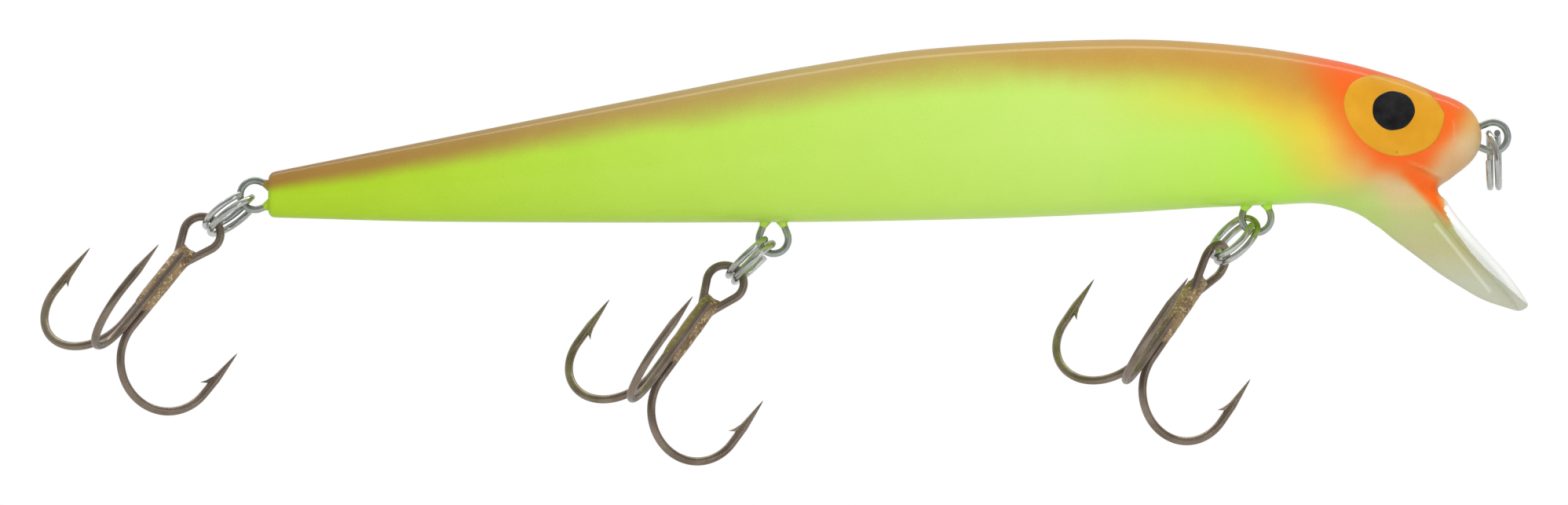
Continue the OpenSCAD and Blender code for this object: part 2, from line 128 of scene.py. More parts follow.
def finish(name):
    material = bpy.data.materials.new(name)
    material.use_nodes = True
    return material, material.node_tree, material.node_tree.nodes["Principled BSDF"]


def settle(shader, **values):
    """Types constant values into a shader's sockets."""
    for name, value in values.items():
        shader.inputs[name.replace("_", " ")].default_value = value


def object_place(tree):
    return add(tree, "ShaderNodeTexCoord").outputs["Object"]


def cloudy(tree, place, scale, detail, **more):
    return add(tree, "ShaderNodeTexNoise", Vector=place, Scale=scale, Detail=detail, **more).outputs["Fac"]


def specks(tree, place, scale, size, rare):
    """1 in round specks, scattered over the share of cells above rare, and 0 elsewhere."""
    cell = add(tree, "ShaderNodeTexVoronoi", Vector=place, Scale=scale)
    chosen = add(tree, "ShaderNodeSeparateColor", Color=cell.outputs["Color"])
    near = math_node(tree, "LESS_THAN", cell.outputs["Distance"], size)
    return math_node(tree, "MULTIPLY", near, math_node(tree, "GREATER_THAN", chosen.outputs["Red"], rare))


def ranged(tree, value, low, high):
    node = add(tree, "ShaderNodeMapRange", Value=value, To_Min=low, To_Max=high)
    return node.outputs["Result"]


def bumpy(tree, shader, height, strength, distance):
    bump = add(tree, "ShaderNodeBump", Strength=strength, Distance=distance, Height=height).outputs["Normal"]
    put(tree, shader.inputs["Normal"], bump)
    return bump


def linear(colour):
    """Turns colours from 0 to 255 into the linear light that shaders use."""
    c = np.asarray(colour, float) / 255
    return np.where(c <= 0.04045, c / 12.92, ((c + 0.055) / 1.055) ** 2.4)


def tint(*colour):
    return (*linear(colour), 1)


def new_object(name, points, faces, material=None):
    """A mesh object at the origin, from points in millimetres."""
    mesh = bpy.data.meshes.new(name)
    mesh.from_pydata((np.asarray(points, float) * MM).tolist(), [], [list(f) for f in faces])
    mesh.update()
    thing = bpy.data.objects.new(name, mesh)
    scene.collection.objects.link(thing)
    if material:
        mesh.materials.append(material)
    return thing


def face_out(mesh, merge=0.0, smooth=False, inward=None):
    """Turns a mesh's faces outwards, or inwards where inward says so of the shape."""
    shape = bmesh.new()
    shape.from_mesh(mesh)
    if merge:
        bmesh.ops.remove_doubles(shape, verts=shape.verts, dist=merge)
    bmesh.ops.recalc_face_normals(shape, faces=shape.faces)
    if inward and inward(shape):
        bmesh.ops.reverse_faces(shape, faces=shape.faces)
    if smooth:
        for face in shape.faces:
            face.smooth = True
    shape.to_mesh(mesh)
    shape.free()


def points_of(mesh):
    flat = np.empty(len(mesh.vertices) * 3)
    mesh.vertices.foreach_get("co", flat)
    return flat.reshape(-1, 3) / MM


print("helpers ready")

# %% [markdown]
# ## Studio
# Three softboxes and a pale room light the lure, at a level where a colour shows about as it is
# written. The camera sees a white background. Bright metal needs something to mirror, so mirrored
# rays see a pale room behind the lure and above it, and a dimmer one in front. Two strips are only
# mirrored: one behind and above draws the fine bright line along the back, and one beside the
# camera draws lines on the upright wires.

# %% Studio
world = bpy.data.worlds.new("studio")
scene.world = world
world.use_nodes = True
sky = world.node_tree
sky.nodes.clear()
path = add(sky, "ShaderNodeLightPath")
way = add(sky, "ShaderNodeTexCoord")
split = add(sky, "ShaderNodeSeparateXYZ", Vector=way.outputs["Generated"])
behind = add(sky, "ShaderNodeMapRange", Value=split.outputs["Y"],
             From_Min=-0.55, From_Max=0.45, To_Min=0.24, To_Max=0.74)
above = add(sky, "ShaderNodeMapRange", Value=split.outputs["Z"],
            From_Min=0.1, From_Max=0.9, To_Min=0.0, To_Max=0.55)
mirrored = math_node(sky, "MAXIMUM", behind.outputs["Result"], above.outputs["Result"])
ROOM = 0.6
soft = math_node(sky, "SUBTRACT", mirrored, ROOM)
soft = math_node(sky, "MULTIPLY", path.outputs["Is Glossy Ray"], soft)
soft = math_node(sky, "ADD", soft, ROOM)
soft = math_node(sky, "MAXIMUM", soft, path.outputs["Is Camera Ray"])
light = add(sky, "ShaderNodeBackground", Color=(1, 1, 1, 1), Strength=soft)
add(sky, "ShaderNodeOutputWorld", Surface=light.outputs["Background"])


def lamp(name, place, aim, size, watts, lights=True, mirrored=False):
    data = bpy.data.lights.new(name, "AREA")
    data.shape, data.size, data.size_y, data.energy = "RECTANGLE", size[0], size[1], watts
    thing = bpy.data.objects.new(name, data)
    thing.location = place
    thing.rotation_euler = (Vector(aim) - Vector(place)).to_track_quat("-Z", "Y").to_euler()
    thing.visible_glossy, thing.visible_diffuse = mirrored, lights
    scene.collection.objects.link(thing)


MIDDLE = (-0.085, 0, 0)
lamp("front_softbox", (-0.25, -1.15, 0.3), MIDDLE, (0.9, 0.6), 4.2)
lamp("top_softbox", (-0.05, -0.25, 1.0), MIDDLE, (1.0, 0.5), 2.6)
lamp("rear_softbox", (0.1, 1.15, 0.3), MIDDLE, (0.9, 0.6), 4.0)
lamp("back_strip", (-0.085, 0.455, 0.87), MIDDLE, (1.5, 0.17), 3.6, lights=False, mirrored=True)
lamp("side_strip", (0.85, -0.85, 0.15), MIDDLE, (0.12, 1.2), 1.6, lights=False, mirrored=True)

floor_finish, tree, shader = finish("pale_floor")
grey = add(tree, "ShaderNodeTexNoise", Scale=6.0, Detail=3.0)
pale = ramp(tree, grey.outputs["Fac"], [(0.3, (0.86, 0.86, 0.86, 1)), (0.7, (0.9, 0.9, 0.9, 1))])
put(tree, shader.inputs["Base Color"], pale)
settle(shader, Roughness=0.9)
FLOOR_X, FLOOR_Y, FLOOR_Z = 2400, 1100, -75
corners = [(x * FLOOR_X, y * FLOOR_Y, FLOOR_Z) for x, y in ((-1, -1), (1, -1), (1, 1), (-1, 1))]
floor = new_object("floor", corners, [(0, 1, 2, 3)], floor_finish)

# %% [markdown]
# ## The body's lines
# A maker draws three lines for a lure's body: the back and the belly seen from the side, and the
# flank seen from above. Each is a smooth curve through a few listed pairs of distance behind
# the nose and height. A cross-section at any place is a squared ellipse between them, and a row of
# cross-sections makes the skin. These are the lines of the solid part, sampled more finely.

# %% Body lines
BODY_L, BODY_W, BACK_H, BELLY_H = 152, 16.4, 12.2, 10.7
TAIL_H, TAIL_W, TAIL_DROP, TAIL_ROUND = 5.6, 5, 7.3, 0.8
NOSE_ROUND, NOSE_STAND, SECTION_POWER, WALL = 4.5, 1.45, 2.4, 1.6
BODY_SIDES, HOLLOW_SIDES, HOLLOW_FROM, HOLLOW_STOP = 112, 48, 12, 9
BACK_LINE = [(0, 7.6), (4, 7.2), (10, 4.9), (18, 2.7), (30, 0.8), (45, 0), (69, 1.15), (85, 3.45), (100, 6.3),
             (BODY_L, BACK_H + TAIL_DROP - TAIL_H / 2)]
BELLY_LINE = [(0, 6.5), (3, 5.85), (5.5, 4.4), (10, 3.1), (22, 2.35), (34, 1.85), (46, 1.1), (62, 0.45),
              (88, 0), (130, 0.05), (BODY_L, BELLY_H - TAIL_DROP - TAIL_H / 2)]
FLANK_LINE = [(0, 4), (5, 3.1), (12, 1.9), (25, 0.6), (45, 0), (75, 0.5), (105, 2.2),
              (BODY_L, (BODY_W - TAIL_W) / 2)]


def smooth(keys, s):
    """A smooth curve through pairs of distance and value."""
    x, y = np.array(keys, float).T
    i = np.arange(len(x))
    before, after = np.maximum(i - 1, 0), np.minimum(i + 1, len(x) - 1)
    slope = (y[after] - y[before]) / (x[after] - x[before])
    s = np.asarray(s, float)
    i = np.clip(np.searchsorted(x, s, side="right") - 1, 0, len(x) - 2)
    h = x[i + 1] - x[i]
    t = (s - x[i]) / h
    u, v = t * t, t * t * t
    return (y[i] * (2 * v - 3 * u + 1) + y[i + 1] * (3 * u - 2 * v)
            + h * (slope[i] * (v - 2 * u + t) + slope[i + 1] * (v - u)))


def nose_share(s):
    return np.sqrt(np.clip(1 - np.clip(1 - np.asarray(s) / NOSE_ROUND, 0, 1) ** 2, 0, 1))


def back_z(s):
    return (BACK_H - smooth(BACK_LINE, s)) * nose_share(s)


def belly_z(s):
    return (smooth(BELLY_LINE, s) - BELLY_H) * nose_share(s)


def flank_y(s):
    return (BODY_W / 2 - smooth(FLANK_LINE, s)) * nose_share(s)


def section(s, inset, sides):
    a = 2 * np.pi * np.arange(sides) / sides
    curl = lambda c: np.sign(c) * np.abs(c) ** (2 / SECTION_POWER)
    high, low, wide = back_z(s) - inset, belly_z(s) + inset, flank_y(s) - inset
    return np.stack([np.full(sides, -NOSE_STAND - s), wide * curl(np.sin(a)),
                     (high + low) / 2 + (high - low) / 2 * curl(np.cos(a))], 1)


def quads(n, m):
    """Faces between n rows of m points each, closed round each row."""
    return [(i * m + j, (i + 1) * m + j, (i + 1) * m + (j + 1) % m, i * m + (j + 1) % m)
            for i in range(n - 1) for j in range(m)]


def loft(rows):
    """Points and faces of a skin over rows with as many points each, closed at both ends."""
    n, m = len(rows), len(rows[0])
    points, faces = np.concatenate(rows), quads(n, m)
    first, last = len(points), len(points) + 1
    points = np.vstack([points, rows[0].mean(0), rows[-1].mean(0)])
    faces += [(first, j, (j + 1) % m) for j in range(m)]
    faces += [(last, (n - 1) * m + (j + 1) % m, (n - 1) * m + j) for j in range(m)]
    return points, faces


nose = NOSE_ROUND * (1 - np.cos(np.linspace(0.02, np.pi / 2, 24)))
middle = np.linspace(NOSE_ROUND, BODY_L - TAIL_ROUND, 230)[1:]
edge = np.linspace(0, np.pi / 2, 9)[1:]
body_rows = [section(s, 0, BODY_SIDES) for s in np.concatenate([nose, middle])]
body_rows += [section(BODY_L - TAIL_ROUND + TAIL_ROUND * np.sin(a), TAIL_ROUND * (1 - np.cos(a)), BODY_SIDES)
              for a in edge]
body_skin = loft(body_rows)
hollow = np.linspace(HOLLOW_FROM, BODY_L - HOLLOW_STOP, 60)
cavity_skin = loft([section(s, WALL, HOLLOW_SIDES) for s in hollow])
print("body points", len(body_skin[0]))

# %% [markdown]
# ## The lip
# The lip is a thin dished plate with a tapering spine behind it, moulded in one with the chin. A
# flat cross-section at each height has the dished front, the plate's round rim and the spine's rear
# edge, and a row of these from inside the chin down to the tip makes its skin.

# %% Lip
MOUTH_DROP, MOUTH_X = 6.9, -NOSE_STAND - 5.2
LIP_W, LIP_T, LIP_DROP, LIP_REACH, LIP_DISH, LIP_BOW = 18, 1.2, 14.9, 11.4, 1.0, 0.35
TIP_THIN, TIP_FROM, LEAN_TO = 0.5, 0.93, 0.97
LIP_REAR = [(-0.15, 16.5), (0.09, 16.5), (0.14, 12.8), (0.25, 8.9), (0.43, 5.2), (0.56, 2.6), (0.69, 0),
            (0.8, -2.6), (0.9, -5.2), (0.97, -7.9), (1, -9)]
LIP_SIDE = [(-0.15, 0.42), (0, 0.5), (0.15, 0.66), (0.35, 0.86), (0.55, 0.98), (0.72, 1), (0.85, 0.9),
            (0.95, 0.6), (1, 0.3)]
LIP_SPINE = [(-0.15, 4.9), (0.05, 4.6), (0.25, 3.6), (0.45, 2.8), (0.65, 2.2), (0.85, 1.5), (1, 0.7)]


def lip_row(t):
    thin = 1 - TIP_THIN * max(t, 0) ** 4
    forward = min(t, LEAN_TO)
    front = MOUTH_X + LIP_REACH * forward - LIP_BOW * math.sin(2 * math.pi * forward)
    plate = LIP_T * math.hypot(LIP_REACH, LIP_DROP) / LIP_DROP * thin
    dish, side = LIP_DISH * thin, LIP_W / 2 * float(smooth(LIP_SIDE, t))
    spine = min(float(smooth(LIP_SPINE, t)), 0.8 * side)
    rear = MOUTH_X - float(smooth(LIP_REAR, t))
    crease = front - plate - dish
    rim = plate / 2
    reach = max(side - rim, spine + 0.05)
    out, arc = np.linspace(0, 1, 24), np.linspace(0, np.pi, 12)[1:-1]
    face = [(front - dish * (1 - c * c), c * reach) for c in out]
    edge = [(front - rim + rim * math.cos(a), reach + rim * math.sin(a)) for a in arc]
    wing = [(front - plate - dish * (1 - c * c), spine + c * (reach - spine)) for c in out[::-1]]
    keel = [(crease + q * (rear - crease), spine * (1 - q ** 1.6) ** 0.7)
            for q in np.linspace(0, 1, 60)[1:]]
    half = face + edge + wing + keel
    z = -MOUTH_DROP - LIP_DROP * t
    row = np.array([(x, -y, z) for x, y in half] + [(x, y, z) for x, y in half[-2:0:-1]])
    middle = np.array([(front - dish + rear) / 2, 0, z])
    rounded = math.sqrt(max(1 - (max(t - TIP_FROM, 0) / (1 - TIP_FROM)) ** 2, 0.0004))
    return middle + (row - middle) * rounded


tip = TIP_FROM + (1 - TIP_FROM) * np.sin(np.linspace(0, np.pi / 2, 16))[1:]
lip_skin = loft([lip_row(t) for t in np.concatenate([np.linspace(-0.15, TIP_FROM, 120), tip])])
print("lip points", len(lip_skin[0]))

# %% [markdown]
# ## One moulding
# The chin flows into the lip with no line between them. Cutting one skin by the other would leave
# a hard corner, so both go through a voxel remesh, which makes one even mesh of small squares.
# Each point is then laid back on the skin it came from, if that faces the same way there, which
# takes the voxels' ripple out and keeps the two sides of the thin lip apart. After that
# the band where the two skins meet is relaxed into a fillet.

# %% Join body and lip
VOXEL, FILLET, RELAX, RELAX_STEP, SAME_WAY = 0.3, 2.0, 70, 0.7, 0.25


def joined(*skins):
    points, faces, start = [], [], 0
    for p, f in skins:
        points.append(p)
        faces += [tuple(i + start for i in face) for face in f]
        start += len(p)
    return np.vstack(points), faces


def tree_of(skin):
    return BVHTree.FromPolygons([Vector(p) for p in skin[0]], skin[1])


def clean_object(name, skin):
    """An object of a skin with doubled points merged and all faces outwards."""
    thing = new_object(name, *skin)
    face_out(thing.data, merge=1e-6)
    return thing


def evaluated(thing):
    """A mesh of an object with its modifiers carried out."""
    bpy.context.view_layer.update()
    graph = bpy.context.evaluated_depsgraph_get()
    return bpy.data.meshes.new_from_object(thing.evaluated_get(graph))


moulding = clean_object("moulding", joined(body_skin, lip_skin))
even = moulding.modifiers.new("even", "REMESH")
even.mode, even.voxel_size, even.adaptivity = "VOXEL", VOXEL * MM, 0.0
even_mesh = evaluated(moulding)
spots = points_of(even_mesh)
body_tree, lip_tree = tree_of(body_skin), tree_of(lip_skin)
own_way = np.array([v.normal for v in even_mesh.vertices])


def laid_on(tree):
    """The nearest places on a skin and how far they are. A place that faces away is not used."""
    hits = [tree.find_nearest(Vector(p)) for p in spots]
    facing = (np.array([h[1] for h in hits]) * own_way).sum(1)
    alike = facing * np.sign(np.median(facing)) > SAME_WAY
    return np.where(alike[:, None], [h[0] for h in hits], spots), np.array([h[3] for h in hits])


on_body, body_gap = laid_on(body_tree)
on_lip, lip_gap = laid_on(lip_tree)
laid = np.where((body_gap < lip_gap)[:, None], on_body, on_lip)
free = np.clip(1.4 - np.maximum(body_gap, lip_gap) / FILLET, 0, 1)
pairs = np.empty(len(even_mesh.edges) * 2, int)
even_mesh.edges.foreach_get("vertices", pairs)
a, b = pairs[0::2], pairs[1::2]
n = len(laid)
count = np.bincount(a, minlength=n) + np.bincount(b, minlength=n)
for _ in range(RELAX):
    sums = [np.bincount(a, laid[b, k], n) + np.bincount(b, laid[a, k], n) for k in range(3)]
    mean = np.stack(sums, 1) / count[:, None]
    laid += free[:, None] * RELAX_STEP * (mean - laid)
print("even points", len(laid), "relaxed", int((free > 0).sum()))

# %% [markdown]
# ## The mouth
# Under the snout a soft ridge runs back from the mouth's corner, with a hollow below it. It is too
# slight for the cross-sections, so the points of the even mesh are moved directly: out along the
# ridge's line, in below it, and fading away towards its rear end.

# %% Mouth crease
RIDGE = np.array([(-6.5, -5.2), (-7.6, -4.75), (-8.9, -4.05), (-10.6, -3.4)])
HOLLOW, RIDGE_RISE = 0.6, 0.3


def ridge_z(x):
    return np.interp(x, RIDGE[::-1, 0], RIDGE[::-1, 1])


def ramp01(low, high, x):
    t = np.clip((np.asarray(x, float) - low) / (high - low), 0, 1)
    return t * t * (3 - 2 * t)


below = ridge_z(laid[:, 0]) - laid[:, 2]
along = ramp01(-12.2, -8.6, laid[:, 0]) * (1 - ramp01(-7.2, -6.0, laid[:, 0]))
dip = HOLLOW * ramp01(-0.1, 0.42, below) * (1 - ramp01(0.8, 3.4, below)) * along
rise = RIDGE_RISE * np.exp(-((below + 0.2) / 0.28) ** 2) * along
wide = np.sign(laid[:, 1]) * ramp01(0.6, 2.2, np.abs(laid[:, 1]))
laid[:, 1] += wide * (rise - dip)
even_mesh.vertices.foreach_set("co", (laid * MM).ravel())
print("deepest", round(float(dip.max()), 2))

# %% [markdown]
# ## Right half, left half and lip
# The moulding is cut into its two halves along the middle, each with the hollow inside. The lip's
# thin rim needs finer faces than the even mesh has, so the even mesh ends at a plane in the chin,
# under the paint. From there down the lip is its own skin, cut along the same plane.

# %% Cut the moulding
LIP_CUT, LIP_WAY = (-6.06, 0, -8.64), Vector((0.429, 0, -0.903))


def cut(mesh, place, way, extra=None):
    """The part of a mesh behind a plane, closed over the cut. Extra is a hollow inside it."""
    shape = bmesh.new()
    shape.from_mesh(mesh)
    if extra:
        hollow = new_object("hollow", *extra)
        face_out(hollow.data, inward=lambda inner: True)
        shape.from_mesh(hollow.data)
        bpy.data.objects.remove(hollow)
    for face in shape.faces:
        face.smooth = True
    everything = shape.verts[:] + shape.edges[:] + shape.faces[:]
    done = bmesh.ops.bisect_plane(shape, geom=everything, dist=1e-7, plane_co=Vector(place) * MM,
                                  plane_no=way, clear_outer=True)
    rim = [g for g in done["geom_cut"] if isinstance(g, bmesh.types.BMEdge)]
    bmesh.ops.triangle_fill(shape, use_beauty=True, use_dissolve=False, edges=rim, normal=way)
    for edge in rim:
        edge.smooth = False
    made = bpy.data.meshes.new("cut")
    shape.to_mesh(made)
    open_edges = sum(1 for e in shape.edges if len(e.link_faces) != 2)
    shape.free()
    return made, open_edges


lip_plain = clean_object("lip_plain", lip_skin)
lip_mesh, lip_open = cut(lip_plain.data, LIP_CUT, -LIP_WAY)
chin_mesh, chin_open = cut(even_mesh, LIP_CUT, LIP_WAY)
right_mesh, right_open = cut(chin_mesh, (0, 0, 0), Vector((0, 1, 0)), cavity_skin)
left_mesh, left_open = cut(chin_mesh, (0, 0, 0), Vector((0, -1, 0)), cavity_skin)
bpy.data.objects.remove(moulding)
bpy.data.objects.remove(lip_plain)
print("open edges", lip_open, chin_open, right_open, left_open)
print("faces", len(right_mesh.polygons), len(lip_mesh.polygons))

# %% [markdown]
# ## Spray paint
# The colours are sprayed one over another with soft edges: yellow-green all over, brown down the
# back, orange over the head and under the mouth, a cream snout. A few coats are painted light and
# shade: a sheen on the flank, highlights along the mouth's ridge and the lip's crease, and shade
# under the snout. Images would hold this, but the colours depend only on where a point is on the
# body, so each coat is a mask worked out at the mesh's points and laid over the coats below it.
# The sum is stored as a colour at each point.

# %% Spray paint
def coat(paint, colour, share):
    return paint * (1 - share[:, None]) + np.asarray(colour, float) * share[:, None]


def along_body(s, stops):
    x, colours = [p for p, _ in stops], np.array([c for _, c in stops], float)
    return np.stack([np.interp(s, x, colours[:, k]) for k in range(3)], 1)


def blob(p, x, z, wide, high, turn=0.0, power=2.0):
    """Soft spot of spray on the side of the body, 1 in its middle."""
    c, sn = math.cos(math.radians(turn)), math.sin(math.radians(turn))
    dx, dz = p[:, 0] - x, p[:, 2] - z
    u, v = (dx * c + dz * sn) / wide, (dz * c - dx * sn) / high
    return np.exp(-((u * u + v * v) ** (power / 2)))


# Each spray fades between a few paints: the first two by distance from the nose, the lip's by the
# share of its drop
GREEN = [(10, (196, 206, 134)), (26, (188, 242, 78)), (50, (198, 237, 106)), (108, (185, 224, 74)),
         (146, (174, 211, 37))]
BROWN = [(0, (224, 142, 54)), (38, (204, 158, 68)), (84, (189, 163, 87)), (152, (158, 119, 54))]
LIP_PALE = [(0.2, (200, 202, 140)), (0.5, (200, 196, 148)), (0.75, (202, 205, 180)), (1, (206, 206, 186))]
# Where the brown ends, as a share of the way down the flank, and how soft its edge is there
BROWN_EDGE = [(0, 0.34), (18, 0.36), (24, 0.33), (30, 0.27), (38, 0.235), (48, 0.21), (58, 0.18), (68, 0.16),
              (88, 0.21), (108, 0.215), (128, 0.26), (142, 0.33), (152, 0.36)]
BROWN_SOFT = [(0, 0.2), (24, 0.2), (38, 0.16), (50, 0.14), (68, 0.14), (88, 0.15), (128, 0.15), (152, 0.16)]
# Outlines of the orange head and of the patch under the mouth, on the side view
HEAD = [(-24.2, 14), (-21.6, 8.5), (-19.9, 4.5), (-17.6, -0.8), (-14.8, -3.5), (-11.5, -4.5), (-8.6, -4.6),
        (-6.2, -1.4), (-4.4, 1.2), (-3.2, 4.5), (-4, 14)]
MOUTH = [(-11.0, -3.9), (-8.9, -4.8), (-7.3, -5.6), (-7.1, -7.5), (-6.2, -9.6), (-5.8, -11.0), (-7.1, -9.2),
         (-8.4, -7.6), (-9.9, -6.1), (-11.2, -4.7)]
# Outline of the bare band along the lip's front edge, and the painted highlight line down its crease
BAND = [(-6.3, -6.9), (-6.25, -7.8), (-5.95, -9.23), (-4.58, -11.88), (-2.72, -14.34), (-1.04, -16.21),
        (1.22, -18.18), (3.58, -20.25), (6, -22), (8, -19), (-4, -6.8)]
CREASE_HIGHLIGHT = [(-7.3, -11.0), (-0.55, -19.2), (-0.5, -19.3), (-7.2, -11.1)]


def outside(p, corners, squash=1.0):
    """Distance of points on the side view outside an outline, and how far inside below zero."""
    q = np.stack([p[:, 0], p[:, 2] * squash], 1)
    c = np.array(corners, float) * (1, squash)
    far, inside = np.full(len(q), 1e9), np.zeros(len(q), bool)
    for a, b in zip(c, np.roll(c, -1, 0)):
        t = np.clip(((q - a) @ (b - a)) / ((b - a) @ (b - a)), 0, 1)
        far = np.minimum(far, np.linalg.norm(q - a - t[:, None] * (b - a), axis=1))
        crosses = (a[1] > q[:, 1]) != (b[1] > q[:, 1])
        level = np.where(b[1] == a[1], 1.0, b[1] - a[1])
        inside ^= crosses & (q[:, 0] < a[0] + (q[:, 1] - a[1]) * (b[0] - a[0]) / level)
    return np.where(inside, -far, far)


def painted(p):
    """Colour of the paint at points in millimetres, as 0 to 255."""
    s = np.clip(-NOSE_STAND - p[:, 0], 0, BODY_L)
    high, low = back_z(s), belly_z(s)
    down = (high - p[:, 2]) / np.maximum(high - low, 0.5)
    drift = np.array([noise.noise(Vector((q[0] * 0.09, 3.1, q[2] * 0.25))) for q in p])
    fine = np.array([noise.noise(Vector((q[0] * 0.6, 7.7, q[2] * 0.6))) for q in p])
    paint = along_body(s, GREEN)
    # A pale bloom over the upper middle of the flank is a painted highlight: the clear coat's broad soft
    # sheen
    painted_flank_sheen = blob(p, -62, 2.5, 34, 6.5, 4) * 0.2 + blob(p, -36, 1, 16, 7, 0) * 0.12
    paint = coat(paint, (214, 240, 150), painted_flank_sheen)
    beyond = outside(p, HEAD, 1.7)
    chin = 4.0 * ramp01(-15.5, -11, p[:, 0])
    halo = (1 - ramp01(2, 14, beyond + 0.6 * drift)) * ramp01(-9.0, -4.2, p[:, 2] + chin)
    warm = ramp01(-24, -12, p[:, 0])[:, None]
    paint = coat(paint, np.array([(246, 206, 62)]) * (1 - warm) + np.array([(226, 196, 142)]) * warm, halo)
    gold = blob(p, -34, 5.2, 12, 3.4, 2) * 0.5 + blob(p, -27, 4.4, 5, 3.6) * 0.35
    paint = coat(paint, (246, 208, 66), gold)
    edge, soft_edge = np.interp(s, *zip(*BROWN_EDGE)), np.interp(s, *zip(*BROWN_SOFT))
    back = 1 - ramp01(edge - soft_edge, edge + soft_edge, down + 0.03 * drift + 0.012 * fine)
    paint = coat(paint, along_body(s, BROWN), back)
    spread = 2.2 + 2.2 * ramp01(-13, -19, p[:, 0])
    head = 1 - ramp01(-0.6, 1, (outside(p, HEAD) + 0.25 * fine) / spread)
    paint = coat(paint, (252, 106, 28), head)
    paint = coat(paint, (250, 197, 106), 0.8 * blob(p, -1.9, 1.6, 1.9, 3.2))
    snout = blob(p, -2.2, -3.3, 3.6, 4.4, -25, 2.4)
    paint = coat(paint, (240, 207, 158), snout)
    # A darker brown-cream under the snout is painted shade, where the chin turns away from the light
    paint = coat(paint, (222, 170, 118), 0.7 * blob(p, -5.3, -3.7, 2.3, 2.4))
    lip_t = (-MOUTH_DROP - p[:, 2]) / LIP_DROP
    fade = ramp01(0.05, 0.5, lip_t) * ramp01(-16.5, -10, p[:, 0])
    paint = coat(paint, along_body(lip_t, LIP_PALE), fade)
    mouth = (1 - ramp01(-0.4, 0.9, outside(p, MOUTH))) * (1 - 0.6 * ramp01(-8.0, -11.0, p[:, 2]))
    paint = coat(paint, (253, 112, 30), mouth)
    on_lip = ramp01(0.0, 0.1, lip_t)
    # A thin pale line along the mouth's ridge is a painted highlight
    painted_ridge_highlight = np.exp(-((p[:, 2] - ridge_z(p[:, 0]) - 0.2) / 0.16) ** 2)
    painted_ridge_highlight *= ramp01(-11.2, -10, p[:, 0]) * (1 - ramp01(-7.0, -6.2, p[:, 0]))
    paint = coat(paint, (252, 190, 140), 0.5 * painted_ridge_highlight)
    # A thin pale line down the lip's crease is a painted highlight
    paint = coat(paint, (247, 247, 238), 0.45 * on_lip * (1 - ramp01(0.06, 0.34, outside(p, CREASE_HIGHLIGHT))))
    paint = coat(paint, (242, 243, 238), on_lip * (1 - ramp01(-0.15, 0.25, outside(p, BAND))))
    return np.clip(paint, 0, 255)


def store_paint(mesh):
    c = linear(painted(points_of(mesh)))
    layer = mesh.color_attributes.new("paint", "FLOAT_COLOR", "POINT")
    layer.data.foreach_set("color", np.hstack([c, np.ones((len(c), 1))]).ravel())


for mesh in (right_mesh, left_mesh, lip_mesh):
    store_paint(mesh)
print("painted", len(right_mesh.vertices) + len(left_mesh.vertices) + len(lip_mesh.vertices), "points")

# %% [markdown]
# ## Painted plastic
# The paint lies under a thick clear coat. The main shader takes the stored colour, broken up by a
# fine spray grain and a few specks, and its coat gives the hard gloss. The coat is slightly wavy.

# %% Painted plastic
shell_finish, tree, shader = finish("sprayed_shell")
sprayed = add(tree, "ShaderNodeAttribute", {"attribute_name": "paint"})
place = object_place(tree)
grain, cloud = cloudy(tree, place, 5200.0, 2.0), cloudy(tree, place, 170.0, 3.0)
colour = mix_colour(tree, "OVERLAY", 0.12, sprayed.outputs["Color"], grain)
colour = mix_colour(tree, "SOFT_LIGHT", 0.10, colour, cloud)
speck = math_node(tree, "MULTIPLY", specks(tree, place, 260.0, 0.035, 0.86), 0.45)
put(tree, shader.inputs["Base Color"], mix_colour(tree, "MIX", speck, colour, tint(96, 82, 40)))
wave = math_node(tree, "MULTIPLY", cloudy(tree, place, 90.0, 2.0), 3.0)
peel = math_node(tree, "MULTIPLY", cloudy(tree, place, 900.0, 2.0), 0.16)
bump = bumpy(tree, shader, math_node(tree, "ADD", wave, peel), 0.35, 0.00002)
put(tree, shader.inputs["Coat Normal"], bump)
settle(shader, Roughness=0.45, Specular_IOR_Level=0.1, Coat_Weight=0.27, Coat_Roughness=0.05)
print("finish", shell_finish.name, "nodes", len(tree.nodes))

# %% Place the halves
pieces = []
for name, mesh, node in (("right_half", right_mesh, "right_shell"), ("left_half", left_mesh, "left_shell")):
    half = bpy.data.objects.new(name, mesh)
    scene.collection.objects.link(half)
    mesh.materials.append(shell_finish)
    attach(half, "body")
    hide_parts(node)
    pieces.append(half)
print([p.name for p in pieces])

# %% [markdown]
# ## Bare lip
# The lip is the same plastic, left bare at its rim. Paint mist clouds its spine, from the chin down,
# so the spine wears the shell's finish and its stored colour fades to a pale grey-green. The rims
# of the thin wings beside it are milky plastic, with faint flow lines along the edge. A see-through
# rim was weighed up, but it looks white in the photograph, so it is opaque.

# %% Bare lip
lip_finish, tree, shader = finish("bare_lip")
streak = add(tree, "ShaderNodeMapping", {"vector_type": "TEXTURE"}, Vector=object_place(tree),
             Rotation=(0, math.radians(50), 0), Scale=(6.0, 6.0, 0.5))
flow = cloudy(tree, streak.outputs["Vector"], 380.0, 1.0)
milky = ramp(tree, flow, [(0.3, tint(240, 243, 236)), (0.5, tint(255, 255, 253))])
put(tree, shader.inputs["Base Color"], milky)
settle(shader, Roughness=0.38)
WING_FROM = 0.3
lip = bpy.data.objects.new("lip", lip_mesh)
scene.collection.objects.link(lip)
lip_mesh.materials.append(shell_finish)
lip_mesh.materials.append(lip_finish)
middles = np.array([f.center for f in lip_mesh.polygons]) / MM
drop = np.clip((-MOUTH_DROP - middles[:, 2]) / LIP_DROP, -0.15, 1)
spine = np.minimum(smooth(LIP_SPINE, drop), 0.4 * LIP_W * smooth(LIP_SIDE, drop))
